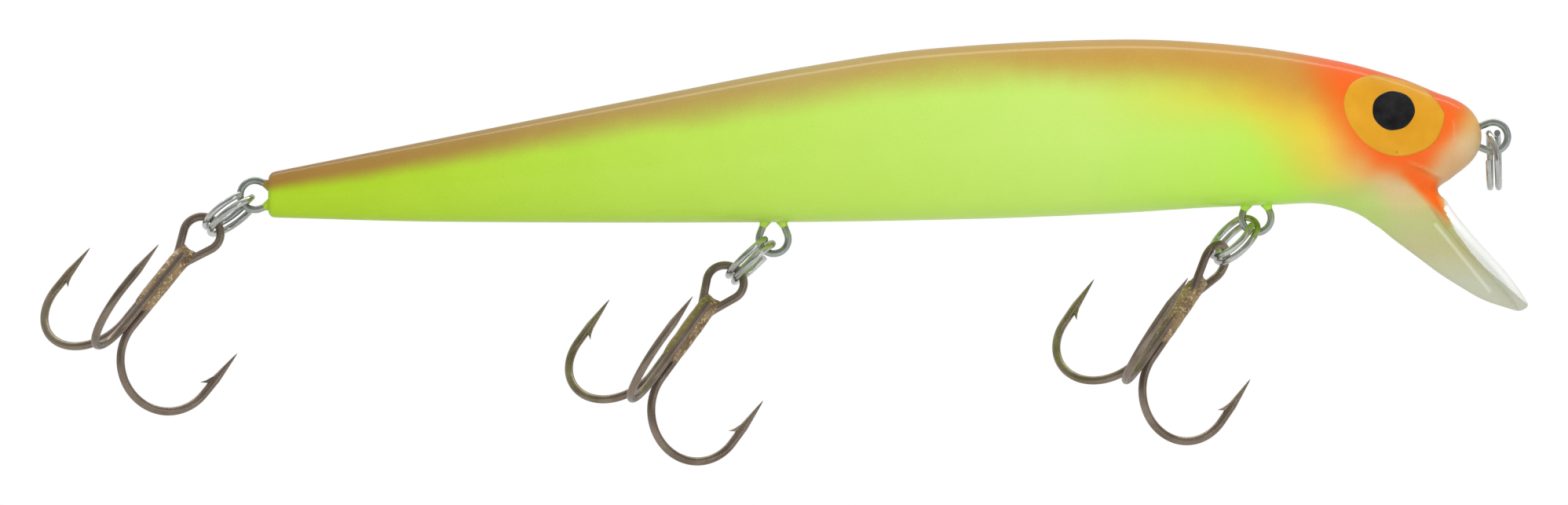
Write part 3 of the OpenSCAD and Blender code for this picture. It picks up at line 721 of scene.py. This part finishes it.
bare = (np.abs(middles[:, 1]) > spine + WING_FROM) & (outside(middles, BAND) < 0.25)
lip_mesh.polygons.foreach_set("material_index", bare.astype(np.int32))
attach(lip, "body")
print("bare faces", int(bare.sum()), "of", len(bare))

# %% [markdown]
# ## Eyes
# Each eye is printed on: a yellow-orange iris with a black pupil. A pattern in the shell's colour
# would blur, so each is a thin patch with a crisp edge. Its outline is drawn on the side view and
# every point is carried across to the skin, a few hundredths of a millimetre proud.

# %% Eyes
EYE_X, EYE_Z = -12.6, 2.7
IRIS = [(-6.27, 1.75), (-5.2, 4.0), (-2.6, 5.05), (0.55, 4.5), (2.75, 3.9), (4.45, 2.9), (5.95, 0.95),
        (6.35, -0.3), (5.7, -2.45), (4.45, -3.95), (2.5, -4.85), (0.5, -5.15), (-1.4, -4.8), (-3.4, -3.7),
        (-4.85, -2.2), (-5.85, -0.5)]
PUPIL_R, PUPIL_AT = (2.66, 2.44), (-0.05, 0.55)
PATCH_RINGS, IRIS_PROUD, PUPIL_PROUD, PATCH_SUNK, FAR_OUT = 26, 0.03, 0.06, -0.03, 60


def closed_curve(corners, n):
    """A smooth closed line through corner points."""
    c = np.array(corners, float)
    out = []
    for i in range(len(c)):
        p0, p1, p2, p3 = c[i - 1], c[i], c[(i + 1) % len(c)], c[(i + 2) % len(c)]
        for t in np.linspace(0, 1, n, endpoint=False):
            out.append(0.5 * (2 * p1 + (p2 - p0) * t + (2 * p0 - 5 * p1 + 4 * p2 - p3) * t ** 2
                              + (3 * p1 - p0 - 3 * p2 + p3) * t ** 3))
    return np.array(out)


def patch(name, outline, centre, side, proud, material, skin):
    """A thin patch on the side of the skin, inside an outline drawn on the side view."""
    points = []
    for k in range(PATCH_RINGS + 1):
        share = max(min(k / (PATCH_RINGS - 1), 1.0), 0.004)
        for q in outline:
            x, z = np.array(centre) + (q - np.array(centre)) * share
            place, normal = skin.ray_cast(Vector((x, FAR_OUT * side, z)) * MM, Vector((0, -side, 0)))[:2]
            points.append(np.array(place / MM + normal * (proud if k < PATCH_RINGS else PATCH_SUNK)))
    faces = quads(PATCH_RINGS + 1, len(outline)) + [tuple(range(len(outline)))]
    thing = new_object(name, points, faces, material)
    face_out(thing.data, smooth=True, inward=lambda shape: sum(f.normal.y for f in shape.faces) * side < 0)
    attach(thing, "body")


iris_finish, tree, shader = finish("iris_print")
place = object_place(tree)
gold = ramp(tree, cloudy(tree, place, 260.0, 4.0), [(0.3, tint(222, 156, 30)), (0.7, tint(238, 172, 46))])
speck = math_node(tree, "MULTIPLY", specks(tree, place, 420.0, 0.06, 0.8), 0.5)
put(tree, shader.inputs["Base Color"], mix_colour(tree, "MIX", speck, gold, tint(150, 96, 20)))
settle(shader, Roughness=0.4, Specular_IOR_Level=0.1, Coat_Weight=0.15, Coat_Roughness=0.05)

pupil_finish, tree, shader = finish("pupil_print")
dust = cloudy(tree, object_place(tree), 900.0, 4.0)
black = ramp(tree, dust, [(0.3, (0.006, 0.006, 0.007, 1)), (0.75, (0.02, 0.02, 0.022, 1))])
put(tree, shader.inputs["Base Color"], black)
settle(shader, Roughness=0.3, Specular_IOR_Level=0.1, Coat_Weight=0.4, Coat_Roughness=0.05)

iris_line = closed_curve(IRIS, 8) + np.array([EYE_X, EYE_Z])
pupil_x, pupil_z = EYE_X + PUPIL_AT[0], EYE_Z + PUPIL_AT[1]
a = np.linspace(0, 2 * np.pi, 96, endpoint=False)
uneven = 1 + 0.012 * np.sin(3 * a + 0.6) + 0.008 * np.sin(7 * a + 2.1)
pupil_line = np.stack([pupil_x + PUPIL_R[0] * uneven * np.cos(a),
                       pupil_z + PUPIL_R[1] * uneven * np.sin(a)], 1)
for side, word, half in ((-1, "right", pieces[0]), (1, "left", pieces[1])):
    skin = BVHTree.FromPolygons([v.co for v in half.data.vertices], [f.vertices for f in half.data.polygons])
    patch(word + "_iris", iris_line, (EYE_X, EYE_Z), side, IRIS_PROUD, iris_finish, skin)
    patch(word + "_pupil", pupil_line, (pupil_x, pupil_z), side, PUPIL_PROUD, pupil_finish, skin)
print("eyes done")

# %% [markdown]
# ## Bent wire
# Everything that hangs is bent wire, so one Geometry Nodes tree makes it all: a line of points
# becomes a curve, a stored girth sets its radius at each point, and a circle is swept along it.
# A list of bends, run by run and turn by turn as on a wire bender, gives the points.

# %% Wire tree
def wire_tree():
    tree = bpy.data.node_groups.new("bent_wire", "GeometryNodeTree")
    tree.interface.new_socket("Geometry", in_out="INPUT", socket_type="NodeSocketGeometry")
    sides = tree.interface.new_socket("Sides", in_out="INPUT", socket_type="NodeSocketInt")
    coat = tree.interface.new_socket("Finish", in_out="INPUT", socket_type="NodeSocketMaterial")
    tree.interface.new_socket("Geometry", in_out="OUTPUT", socket_type="NodeSocketGeometry")
    start, end = tree.nodes.new("NodeGroupInput"), tree.nodes.new("NodeGroupOutput")
    curve = add(tree, "GeometryNodeMeshToCurve", Mesh=start.outputs["Geometry"])
    girth = add(tree, "GeometryNodeInputNamedAttribute", {"data_type": "FLOAT"}, Name="girth")
    ring = add(tree, "GeometryNodeCurvePrimitiveCircle", {"mode": "RADIUS"}, Radius=1.0,
               Resolution=start.outputs["Sides"])
    swept = add(tree, "GeometryNodeCurveToMesh", Curve=curve.outputs["Curve"],
                Profile_Curve=ring.outputs["Curve"], Scale=girth.outputs["Attribute"], Fill_Caps=True)
    even = add(tree, "GeometryNodeSetShadeSmooth", Geometry=swept.outputs["Mesh"])
    real = add(tree, "GeometryNodeRealizeInstances", Geometry=even.outputs["Geometry"])
    dressed = add(tree, "GeometryNodeSetMaterial", Geometry=real.outputs["Geometry"],
                  Material=start.outputs["Finish"])
    put(tree, end.inputs["Geometry"], dressed.outputs["Geometry"])
    return tree, sides.identifier, coat.identifier


WIRE_TREE, WIRE_SIDES, WIRE_FINISH = wire_tree()
SHARP_FROM, BEND_STEP = 50, 4.0


def wire_mesh(name, lines, material, sides=18):
    """Sweeps wires along lines of points, each point with its radius, all in millimetres."""
    points, edges, girth = [], [], []
    for line, radius in lines:
        start = len(points)
        points += [np.asarray(p, float) * MM for p in line]
        girth += [r * MM for r in np.broadcast_to(radius, len(line))]
        edges += [(start + i, start + i + 1) for i in range(len(line) - 1)]
    mesh = bpy.data.meshes.new(name)
    mesh.from_pydata([tuple(p) for p in points], edges, [])
    mesh.attributes.new("girth", "FLOAT", "POINT").data.foreach_set("value", girth)
    thing = bpy.data.objects.new(name, mesh)
    scene.collection.objects.link(thing)
    nodes = thing.modifiers.new("sweep", "NODES")
    nodes.node_group = WIRE_TREE
    nodes[WIRE_SIDES] = sides
    nodes[WIRE_FINISH] = material
    made = evaluated(thing)
    thing.modifiers.remove(nodes)
    thing.data = made
    made.set_sharp_from_angle(angle=math.radians(SHARP_FROM))
    return thing


def turned(v, axis, angle):
    c, s = math.cos(angle), math.sin(angle)
    return v * c + np.cross(axis, v) * s + axis * np.dot(axis, v) * (1 - c)


def bent(steps, at, ahead, left):
    """Points along a wire bent step by step, without its start."""
    at, ahead, left = (np.array(v, float) for v in (at, ahead, left))
    line = []
    for kind, size, *angle in steps:
        if kind == "run":
            line += [at + ahead * size * i / 4 for i in range(1, 5)]
            at = at + ahead * size
        elif kind == "roll":
            left = turned(left, ahead, math.radians(size))
        else:
            up, total = np.cross(ahead, left), math.radians(angle[0])
            arm = -np.sign(total) * size * left
            n = max(2, math.ceil(abs(angle[0]) / BEND_STEP))
            line += [at - arm + turned(arm, up, total * i / n) for i in range(1, n + 1)]
            at = at - arm + turned(arm, up, total)
            ahead, left = turned(ahead, up, total), turned(left, up, total)
    return line


def other_way(steps):
    """The same bends to the other side: turns and rolls change sign, and runs stay."""
    return [step if step[0] == "run" else (*step[:-1], -step[-1]) for step in steps]


def wire_pair(steps, r):
    """One wire with both ends bent alike, from the far side of a loop round the origin."""
    top = np.array([-r, 0, 0.0])
    half = bent(steps, top, (0, 1, 0), (-1, 0, 0))
    other = bent(other_way(steps), top, (0, -1, 0), (1, 0, 0))
    return np.array(half[::-1] + [top] + other)


def turn_matrix(x=0, y=0, z=0):
    """Turns about X, then Y, then Z, in degrees."""
    (cx, cy, cz), (sx, sy, sz) = np.cos(np.radians((x, y, z))), np.sin(np.radians((x, y, z)))
    about_z = np.array([[cz, -sz, 0], [sz, cz, 0], [0, 0, 1]])
    about_y = np.array([[cy, 0, sy], [0, 1, 0], [-sy, 0, cy]])
    return about_z @ about_y @ np.array([[1, 0, 0], [0, cx, -sx], [0, sx, cx]])


print("wire tree", [n.bl_idname for n in WIRE_TREE.nodes][:4])

# %% [markdown]
# ## Wire finishes
# Hangers and rings are bright plated wire, a little dulled. The hooks are bronzed: lacquered brown
# metal with a soft sheen. Colour and roughness vary along the wire. Paint mist settled on the wire
# near the body and tints it olive, thickest next to the body. How much lies where is stored at the
# mesh's points as "mist", and the finish mixes its colour by that.

# %% Wire finishes
def wire_finish(name, dark, bright, rough, metal):
    material, tree, shader = finish(name)
    place = object_place(tree)
    stain = cloudy(tree, place, 260.0, 4.0, Roughness=0.6)
    plain = ramp(tree, stain, [(0.32, dark), (0.68, bright)])
    mist = add(tree, "ShaderNodeAttribute", {"attribute_name": "mist"}).outputs["Fac"]
    drops = cloudy(tree, place, 1300.0, 3.0)
    olive = ramp(tree, drops, [(0.35, tint(142, 150, 52)), (0.65, tint(178, 188, 84))])
    put(tree, shader.inputs["Base Color"], mix_colour(tree, "MIX", mist, plain, olive))
    dull = math_node(tree, "ADD", ranged(tree, stain, *rough), math_node(tree, "MULTIPLY", mist, 0.2))
    put(tree, shader.inputs["Roughness"], dull)
    bumpy(tree, shader, cloudy(tree, place, 3000.0, 3.0), 0.12, 0.00003)
    settle(shader, Metallic=metal)
    return material


hanger_finish = wire_finish("dull_plate", tint(140, 146, 142), tint(196, 202, 198), (0.2, 0.36), 0.9)
ring_finish = wire_finish("bright_plate", tint(164, 166, 162), tint(226, 228, 224), (0.12, 0.24), 0.95)
hook_finish = wire_finish("bronzed", tint(116, 101, 88), tint(150, 135, 121), (0.24, 0.34), 0.8)


def catch_mist(thing, share):
    """Stores how much mist lies at each point, where share is a function of the points."""
    p = points_of(thing.data)
    cloud = np.array([noise.noise(Vector(m * 0.7)) for m in p])
    mist = np.clip(share(p) * (1 + 0.4 * cloud), 0, 1)
    thing.data.attributes.new("mist", "FLOAT", "POINT").data.foreach_set("value", mist)


print("wire finishes", hanger_finish.name, ring_finish.name, hook_finish.name)

# %% [markdown]
# ## Hangers
# Each hanger is one wire: a round loop outside, a narrow neck, and a smaller loop inside the body
# that closes round a post. Four are set in the body, at the nose, twice in the belly and in the tail.
# Paint gathers in a small collar round the belly and tail wires where they come out.

# %% Hangers
HANGER_WIRE, LOOP_R, ANCHOR_R, NECK_W, NECK_R, LEAN, ANCHOR_GAP = 0.9, 1.83, 1.4, 1.36, 1.5, 22, 8
COLLAR_AT, COLLAR_R = (-0.5, -0.1, 0.15, 0.4, 0.6), [0.85, 0.74, 0.62, 0.53, 0.46]
HANGER_MIST = {"nose": 0.15, "front": 0.6, "middle": 0.3, "tail": 0.15}


def leg_run(r, near, bend, lean):
    c = math.cos(math.radians(lean))
    return (r * c - bend * (1 - c) - near) / math.sin(math.radians(lean))


hanger_steps = [("turn", LOOP_R, -90 - LEAN), ("run", leg_run(LOOP_R, NECK_W / 2, NECK_R, LEAN)),
                ("turn", NECK_R, 2 * LEAN), ("run", leg_run(ANCHOR_R, NECK_W / 2, NECK_R, LEAN)),
                ("turn", ANCHOR_R, ANCHOR_GAP - 90 - LEAN)]
hanger_line = wire_pair(hanger_steps, LOOP_R) @ turn_matrix(x=90).T
hanger_node = {"nose": "nose_eye", "front": "front_belly_hanger", "middle": "middle_belly_hanger",
               "tail": "tail_hanger"}
loop_at = {where: np.array(joint[where + "_ring_swing"]["pos_m"]) / MM for where in hanger_node}
hanger_turn = {"nose": 180, "front": -90, "middle": -90, "tail": 0}
inside = Vector((-70, 0, 0))
nearest, way = body_tree.find_nearest(inside)[:2]
OUTWARD = -1 if (inside - nearest).dot(way) > 0 else 1
collars = []


def collar_lines(line):
    """Short tapering sleeves where a wire comes out of the body."""
    near = [body_tree.find_nearest(Vector(q)) for q in line]
    out = [OUTWARD * (Vector(q) - h[0]).dot(h[1]) for q, h in zip(line, near)]
    found = []
    for i in range(len(line) - 1):
        if (out[i] > 0) != (out[i + 1] > 0):
            ahead = (line[i + 1] - line[i]) * (1 if out[i + 1] > 0 else -1)
            ahead = ahead / np.linalg.norm(ahead)
            place = line[i] + (line[i + 1] - line[i]) * out[i] / (out[i] - out[i + 1])
            found.append(([place + ahead * d for d in COLLAR_AT], COLLAR_R))
    return found


for where, node in hanger_node.items():
    line = hanger_line @ turn_matrix(y=hanger_turn[where]).T + loop_at[where]
    collars += collar_lines(line) if where != "nose" else []
    hanger = wire_mesh(node + "_wire", [(line, HANGER_WIRE / 2)], hanger_finish)
    into = turn_matrix(y=hanger_turn[where]) @ np.array([1.0, 0, 0])
    catch_mist(hanger, lambda m: HANGER_MIST[where] * ramp01(-1.2, 1.6, (m - loop_at[where]) @ into))
    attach(hanger, "body")
    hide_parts(node)
collar = wire_mesh("paint_collars", collars, shell_finish)
store_paint(collar.data)
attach(collar, "body")
print("hanger points", len(hanger_line), "collars", len(collars))

# %% [markdown]
# ## Split rings
# A split ring is a wire wound nearly twice round, with a short shift from one track to the other.
# The path is a circle whose height eases from the first track to the second. The solid keeps the
# turns apart so that it stays one clean solid; here they lie closer, as in a real ring.

# %% Split rings
RING_R, RING_WIRE, RING_GAP, RING_TURNS, HANG_CLEAR = 3.4, 0.8, 0.46, 1.75, 0.2
CLOSE_GAP = 0.26
PITCH, CLOSE_PITCH = RING_WIRE + RING_GAP, RING_WIRE + CLOSE_GAP
# How far each ring is turned, tilted and spun, in degrees, and the mist on it with its reach
ring_pose = {"nose": (88.5, 3, 270), "front": (136, -20, 216), "middle": (136.9, 7, 205),
             "tail": (143.6, 15, 225)}
RING_MIST = {"nose": (0, 1), "front": (0.75, 6.0), "middle": (0.6, 4), "tail": (0.3, 4)}


def seat(hole_r, wire):
    return math.sqrt((hole_r - (wire + RING_WIRE) / 2 - HANG_CLEAR) ** 2 - (PITCH / 2) ** 2)


ring_seat = seat(LOOP_R, HANGER_WIRE)
a = np.linspace(0, 2 * np.pi * RING_TURNS, 150)
start = 2 * np.pi * (RING_TURNS - 1)
shift = CLOSE_PITCH * (ramp01(0, 1, (a - start) / (2 * np.pi - start)) - 0.5)
ring_line = np.stack([RING_R * np.cos(a), RING_R * np.sin(a), shift], 1)
for where, (turn, tilt, spin) in ring_pose.items():
    hang = RING_R - ring_seat if where == "nose" else RING_R + ring_seat
    pose = turn_matrix(y=turn) @ turn_matrix(x=tilt)
    line = (ring_line @ turn_matrix(z=spin).T + np.array([hang, 0, 0])) @ pose.T + loop_at[where]
    ring = wire_mesh(where + "_ring_wire", [(line, RING_WIRE / 2)], ring_finish)
    most, reach = RING_MIST[where]
    away = lambda m: np.linalg.norm(m - loop_at[where], axis=1) / reach
    catch_mist(ring, lambda m: most * (1 - ramp01(0.3, 1, away(m))))
    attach(ring, where + "_ring")
    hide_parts(where + "_split_ring")
print("ring points", len(ring_line))

# %% [markdown]
# ## Treble hooks
# A treble is made from two wires: a long one bent at its middle into the eye, with a hook at each
# end, and a single hook brazed into the groove of its shank. The points taper to a needle, and a
# barb is cut and raised on each one's inner side.

# %% Treble hooks
HOOK_WIRE, EYE_R, HOOK_LEAN, SHANK_R, SHANK_GAP, SHANK_L, BEND_R = 1.04, 2.33, 24, 3.0, 1.2, 15.0, 6.4
THROAT_L, POINT_L, BARB_H, DOUBLE_ROLL, TIP_R, TIP_STEPS = 2.6, 4.2, 0.85, -30, 0.03, 8
HOOK_MIST, HOOK_SIDES = 0.1, 20
eye_leg = leg_run(EYE_R, SHANK_GAP / 2, SHANK_R, HOOK_LEAN)
lean = math.radians(HOOK_LEAN)
SHANK_START = (EYE_R + SHANK_R) * math.sin(lean) + eye_leg * math.cos(lean)
SINGLE_Z, SINGLE_START = SHANK_GAP * math.sin(math.radians(60)), SHANK_START - 1.2
point_runs = [("run", THROAT_L), ("run", POINT_L * 0.5), ("run", POINT_L * 0.5)]
double_steps = [("turn", EYE_R, -90 - HOOK_LEAN), ("run", eye_leg), ("turn", SHANK_R, HOOK_LEAN),
                ("run", SHANK_L - SHANK_START), ("roll", DOUBLE_ROLL), ("turn", BEND_R, 180)] + point_runs
single_steps = [("run", SHANK_L - SINGLE_START), ("roll", 90), ("turn", BEND_R, 180)] + point_runs
double_line = wire_pair(double_steps, EYE_R)
single_end = np.array([SINGLE_START, 0, SINGLE_Z])
single_line = np.array([single_end] + bent(single_steps, single_end, (1, 0, 0), (0, 1, 0)))


def needle(n):
    """Radius along a wire whose last places taper to a point."""
    r = np.full(n, HOOK_WIRE / 2)
    t = np.arange(1, TIP_STEPS + 1) / TIP_STEPS
    r[-TIP_STEPS:] = TIP_R + (HOOK_WIRE / 2 - TIP_R) * (1 - t) ** 0.8 * (1 - 0.1 * t)
    return r


double_girth = np.minimum(needle(len(double_line)), needle(len(double_line))[::-1])
single_girth = needle(len(single_line))


def barb(roll, y, z):
    """A thin wedge raised off the inner side of the wire, by the start of its taper."""
    flat = [(-0.1, 0.2 * HOOK_WIRE), (1.8, 0.24 * HOOK_WIRE), (0.8, 0.52 * HOOK_WIRE),
            (-0.15, 0.5 * HOOK_WIRE + 0.45 * BARB_H), (-0.9, 0.5 * HOOK_WIRE + BARB_H),
            (-0.5, 0.5 * HOOK_WIRE + 0.35 * BARB_H)]
    thick = [0.2, 0.18, 0.14, 0.09, 0.03, 0.14]
    points = [np.array([q[0], q[1], s * w]) for s in (-1, 1) for q, w in zip(flat, thick)]
    n = len(flat)
    faces = [tuple(range(n))[::-1], tuple(range(n, 2 * n))]
    faces += [(i, (i + 1) % n, n + (i + 1) % n, n + i) for i in range(n)]
    along, across = np.array([THROAT_L - 0.9, 0, 0]), np.array([0, 2 * BEND_R, 0])
    points = [turn_matrix(z=180) @ (q + along) + across for q in points]
    points = [turn_matrix(x=roll) @ q + np.array([SHANK_L, y, z]) for q in points]
    return points, faces


# Slack in mm, then sway, turn, tilt and roll in degrees
hook_pose = {"front": (0.67, -2.4, 124.7, 18.1, 216.6), "middle": (0.11, 1, 126.2, 17.5, 99.3),
             "tail": (0.06, 0, 129, 15.9, 102.8)}
eye_seat = seat(EYE_R, HOOK_WIRE)


def hook_place(where):
    slack, sway, turn, tilt, roll = hook_pose[where]
    reach = RING_R + ring_seat + RING_R + eye_seat - slack
    b = math.radians(ring_pose[where][0] + sway)
    at = loop_at[where] + reach * np.array([math.cos(b), 0, -math.sin(b)])
    return turn_matrix(y=turn) @ turn_matrix(z=-tilt) @ turn_matrix(x=roll), at


def hook_upper(where):
    """The way off the hook's upper side, where mist settles."""
    return turn_matrix(y=hook_pose[where][2]) @ np.array([0, 0, -1.0])


def with_barbs(thing, barbs, turn, at):
    shape = bmesh.new()
    shape.from_mesh(thing.data)
    for points, faces in barbs:
        made = [shape.verts.new(Vector((turn @ p + at) * MM)) for p in points]
        new = [shape.faces.new([made[i] for i in f]) for f in faces]
        bmesh.ops.recalc_face_normals(shape, faces=new)
    shape.to_mesh(thing.data)
    shape.free()


mirror = np.array([1, -1, 1])
double_barb = barb(DOUBLE_ROLL, SHANK_GAP / 2, 0)
double_barbs = [double_barb, ([p * mirror for p in double_barb[0]], double_barb[1])]
for where in hook_pose:
    turn, at = hook_place(where)
    for kind, line, girth, barbs in (("double", double_line, double_girth, double_barbs),
                                     ("single", single_line, single_girth, [barb(90, 0, SINGLE_Z)])):
        hook = wire_mesh(f"{where}_{kind}_wire", [(line @ turn.T + at, girth)], hook_finish, HOOK_SIDES)
        with_barbs(hook, barbs, turn, at)
        catch_mist(hook, lambda m: HOOK_MIST * ramp01(1.5, 6, (m - at) @ hook_upper(where)))
        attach(hook, where + "_hook")
        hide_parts(f"{where}_{kind}_hook")
print("double points", len(double_line), "single points", len(single_line))

# %% [markdown]
# ## Braze
# Molten brass runs into the grooves between the three shanks and dries grainy. It starts as a web
# that sags between the eye's legs, rounds out to a coat round the wires that leaves the crown of the
# right-hand one bare, and stops above the bend. Solids joined wire to wire would look moulded, so the
# coat is a row of lumpy outlines. The finish mixes brown scale with specks of gold, and takes mist.

# %% Braze
BRAZE_L, WEB_FROM, WEB_SAG, BRAZE_R = 13.0, 2.9, 0.7, 1.22
BRAZE_MIST = {"front": 0.15, "middle": 0.5, "tail": 0.0}
BARE_FROM = {"front": 11.0, "middle": 3.9, "tail": 3.9}
MIDDLE_Z = SHANK_GAP / 2 * math.tan(math.radians(30))
braze_finish, tree, shader = finish("grainy_braze")
place = object_place(tree)
grit = cloudy(tree, place, 2600.0, 4.0, Roughness=0.7)
flow = cloudy(tree, place, 420.0, 3.0)
brown = ramp(tree, flow, [(0.35, tint(120, 97, 72)), (0.62, tint(164, 138, 102))])
brass = mix_colour(tree, "MIX", math_node(tree, "GREATER_THAN", grit, 0.57), brown, tint(208, 186, 144))
mist = add(tree, "ShaderNodeAttribute", {"attribute_name": "mist"}).outputs["Fac"]
put(tree, shader.inputs["Base Color"], mix_colour(tree, "MIX", mist, brass, tint(120, 112, 44)))
settle(shader, Metallic=0.5)
put(tree, shader.inputs["Roughness"], ranged(tree, grit, 0.5, 0.32))
bumpy(tree, shader, grit, 0.6, 0.00006)


def leg_y(x):
    """Distance of the eye's legs from the hook's middle line."""
    lean = math.radians(HOOK_LEAN)
    back = SHANK_START - x
    bend = SHANK_R * math.sin(lean)
    curve = SHANK_R - np.sqrt(SHANK_R ** 2 - np.clip(back, 0, bend) ** 2)
    return SHANK_GAP / 2 + curve + np.maximum(back - bend, 0) * math.tan(lean)


def braze_row(x, near, bare_from):
    """Outline of the brass at one place: a web between the legs, then a coat round three wires."""
    a = np.linspace(0, 2 * np.pi, 40, endpoint=False)
    full = float(ramp01(WEB_FROM, SHANK_START, x))
    off = (a - near + np.pi) % (2 * np.pi) - np.pi
    r = BRAZE_R - 0.2 * float(ramp01(bare_from - 1, bare_from, x)) * np.exp(-(off / 0.8) ** 2)
    r -= 0.2 * float(ramp01(10.5, BRAZE_L, x))
    wide = (leg_y(x) + 0.25) * (1 - full) + full
    y, z = wide * r * np.cos(a), (0.42 + 0.58 * full) * r * np.sin(a) + MIDDLE_Z * full
    sag = WEB_SAG * (1 - full) * (np.cos(a) ** 2)
    return np.stack([x - sag, y, z], 1)


def braze_rows(seed, near, bare_from):
    rows = []
    for x in np.linspace(WEB_FROM, BRAZE_L, 80):
        share = float(ramp01(WEB_FROM - 0.3, WEB_FROM + 0.15, x) * (1 - ramp01(BRAZE_L - 0.9, BRAZE_L, x)))
        row = braze_row(x, near, bare_from)
        middle = row.mean(0)
        lump = np.array([noise.noise(Vector((q[0] * 0.8 + seed, q[1] * 2, q[2] * 2))) for q in row])
        rows.append(middle + (row - middle) * (0.35 + 0.65 * share) * (1 + 0.04 * lump)[:, None])
    return rows


for i, where in enumerate(hook_pose):
    turn, at = hook_place(where)
    side = turn.T @ np.array([0, -1.0, 0])
    points, faces = loft(braze_rows(5.3 * i, math.atan2(side[2], side[1]), BARE_FROM[where]))
    braze = new_object(where + "_braze", points @ turn.T + at, faces, braze_finish)
    face_out(braze.data, smooth=True)
    catch_mist(braze, lambda m: BRAZE_MIST[where] * ramp01(-0.2, 0.5, (m - at) @ hook_upper(where)))
    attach(braze, where + "_hook")
    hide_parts(where + "_hook_braze")
print("brass from", WEB_FROM, "to", BRAZE_L)

# %% [markdown]
# ## Inside
# The keel weights and rattle balls are sealed in the body. Their solids already have the right
# shape, so they stay and only get a finish: turned steel and polished steel.

# %% Inside
def steel(name, dark, bright, rough, scale):
    material, tree, shader = finish(name)
    stain = cloudy(tree, object_place(tree), scale, 4.0)
    put(tree, shader.inputs["Base Color"], ramp(tree, stain, [(0.35, dark), (0.65, bright)]))
    settle(shader, Metallic=1.0)
    put(tree, shader.inputs["Roughness"], ranged(tree, stain, *rough))
    return material


turned_steel = steel("turned_steel", tint(96, 96, 98), tint(140, 140, 142), (0.4, 0.6), 900.0)
ball_steel = steel("ball_steel", tint(150, 150, 152), tint(190, 190, 192), (0.12, 0.28), 700.0)
for name, material in (("keel_weight", turned_steel), ("rattle_ball", ball_steel)):
    for end in ("front", "rear"):
        solid = frame["nodes"][f"{end}_{name}"]
        solid.data.materials.clear()
        solid.data.materials.append(material)
print("inside dressed")
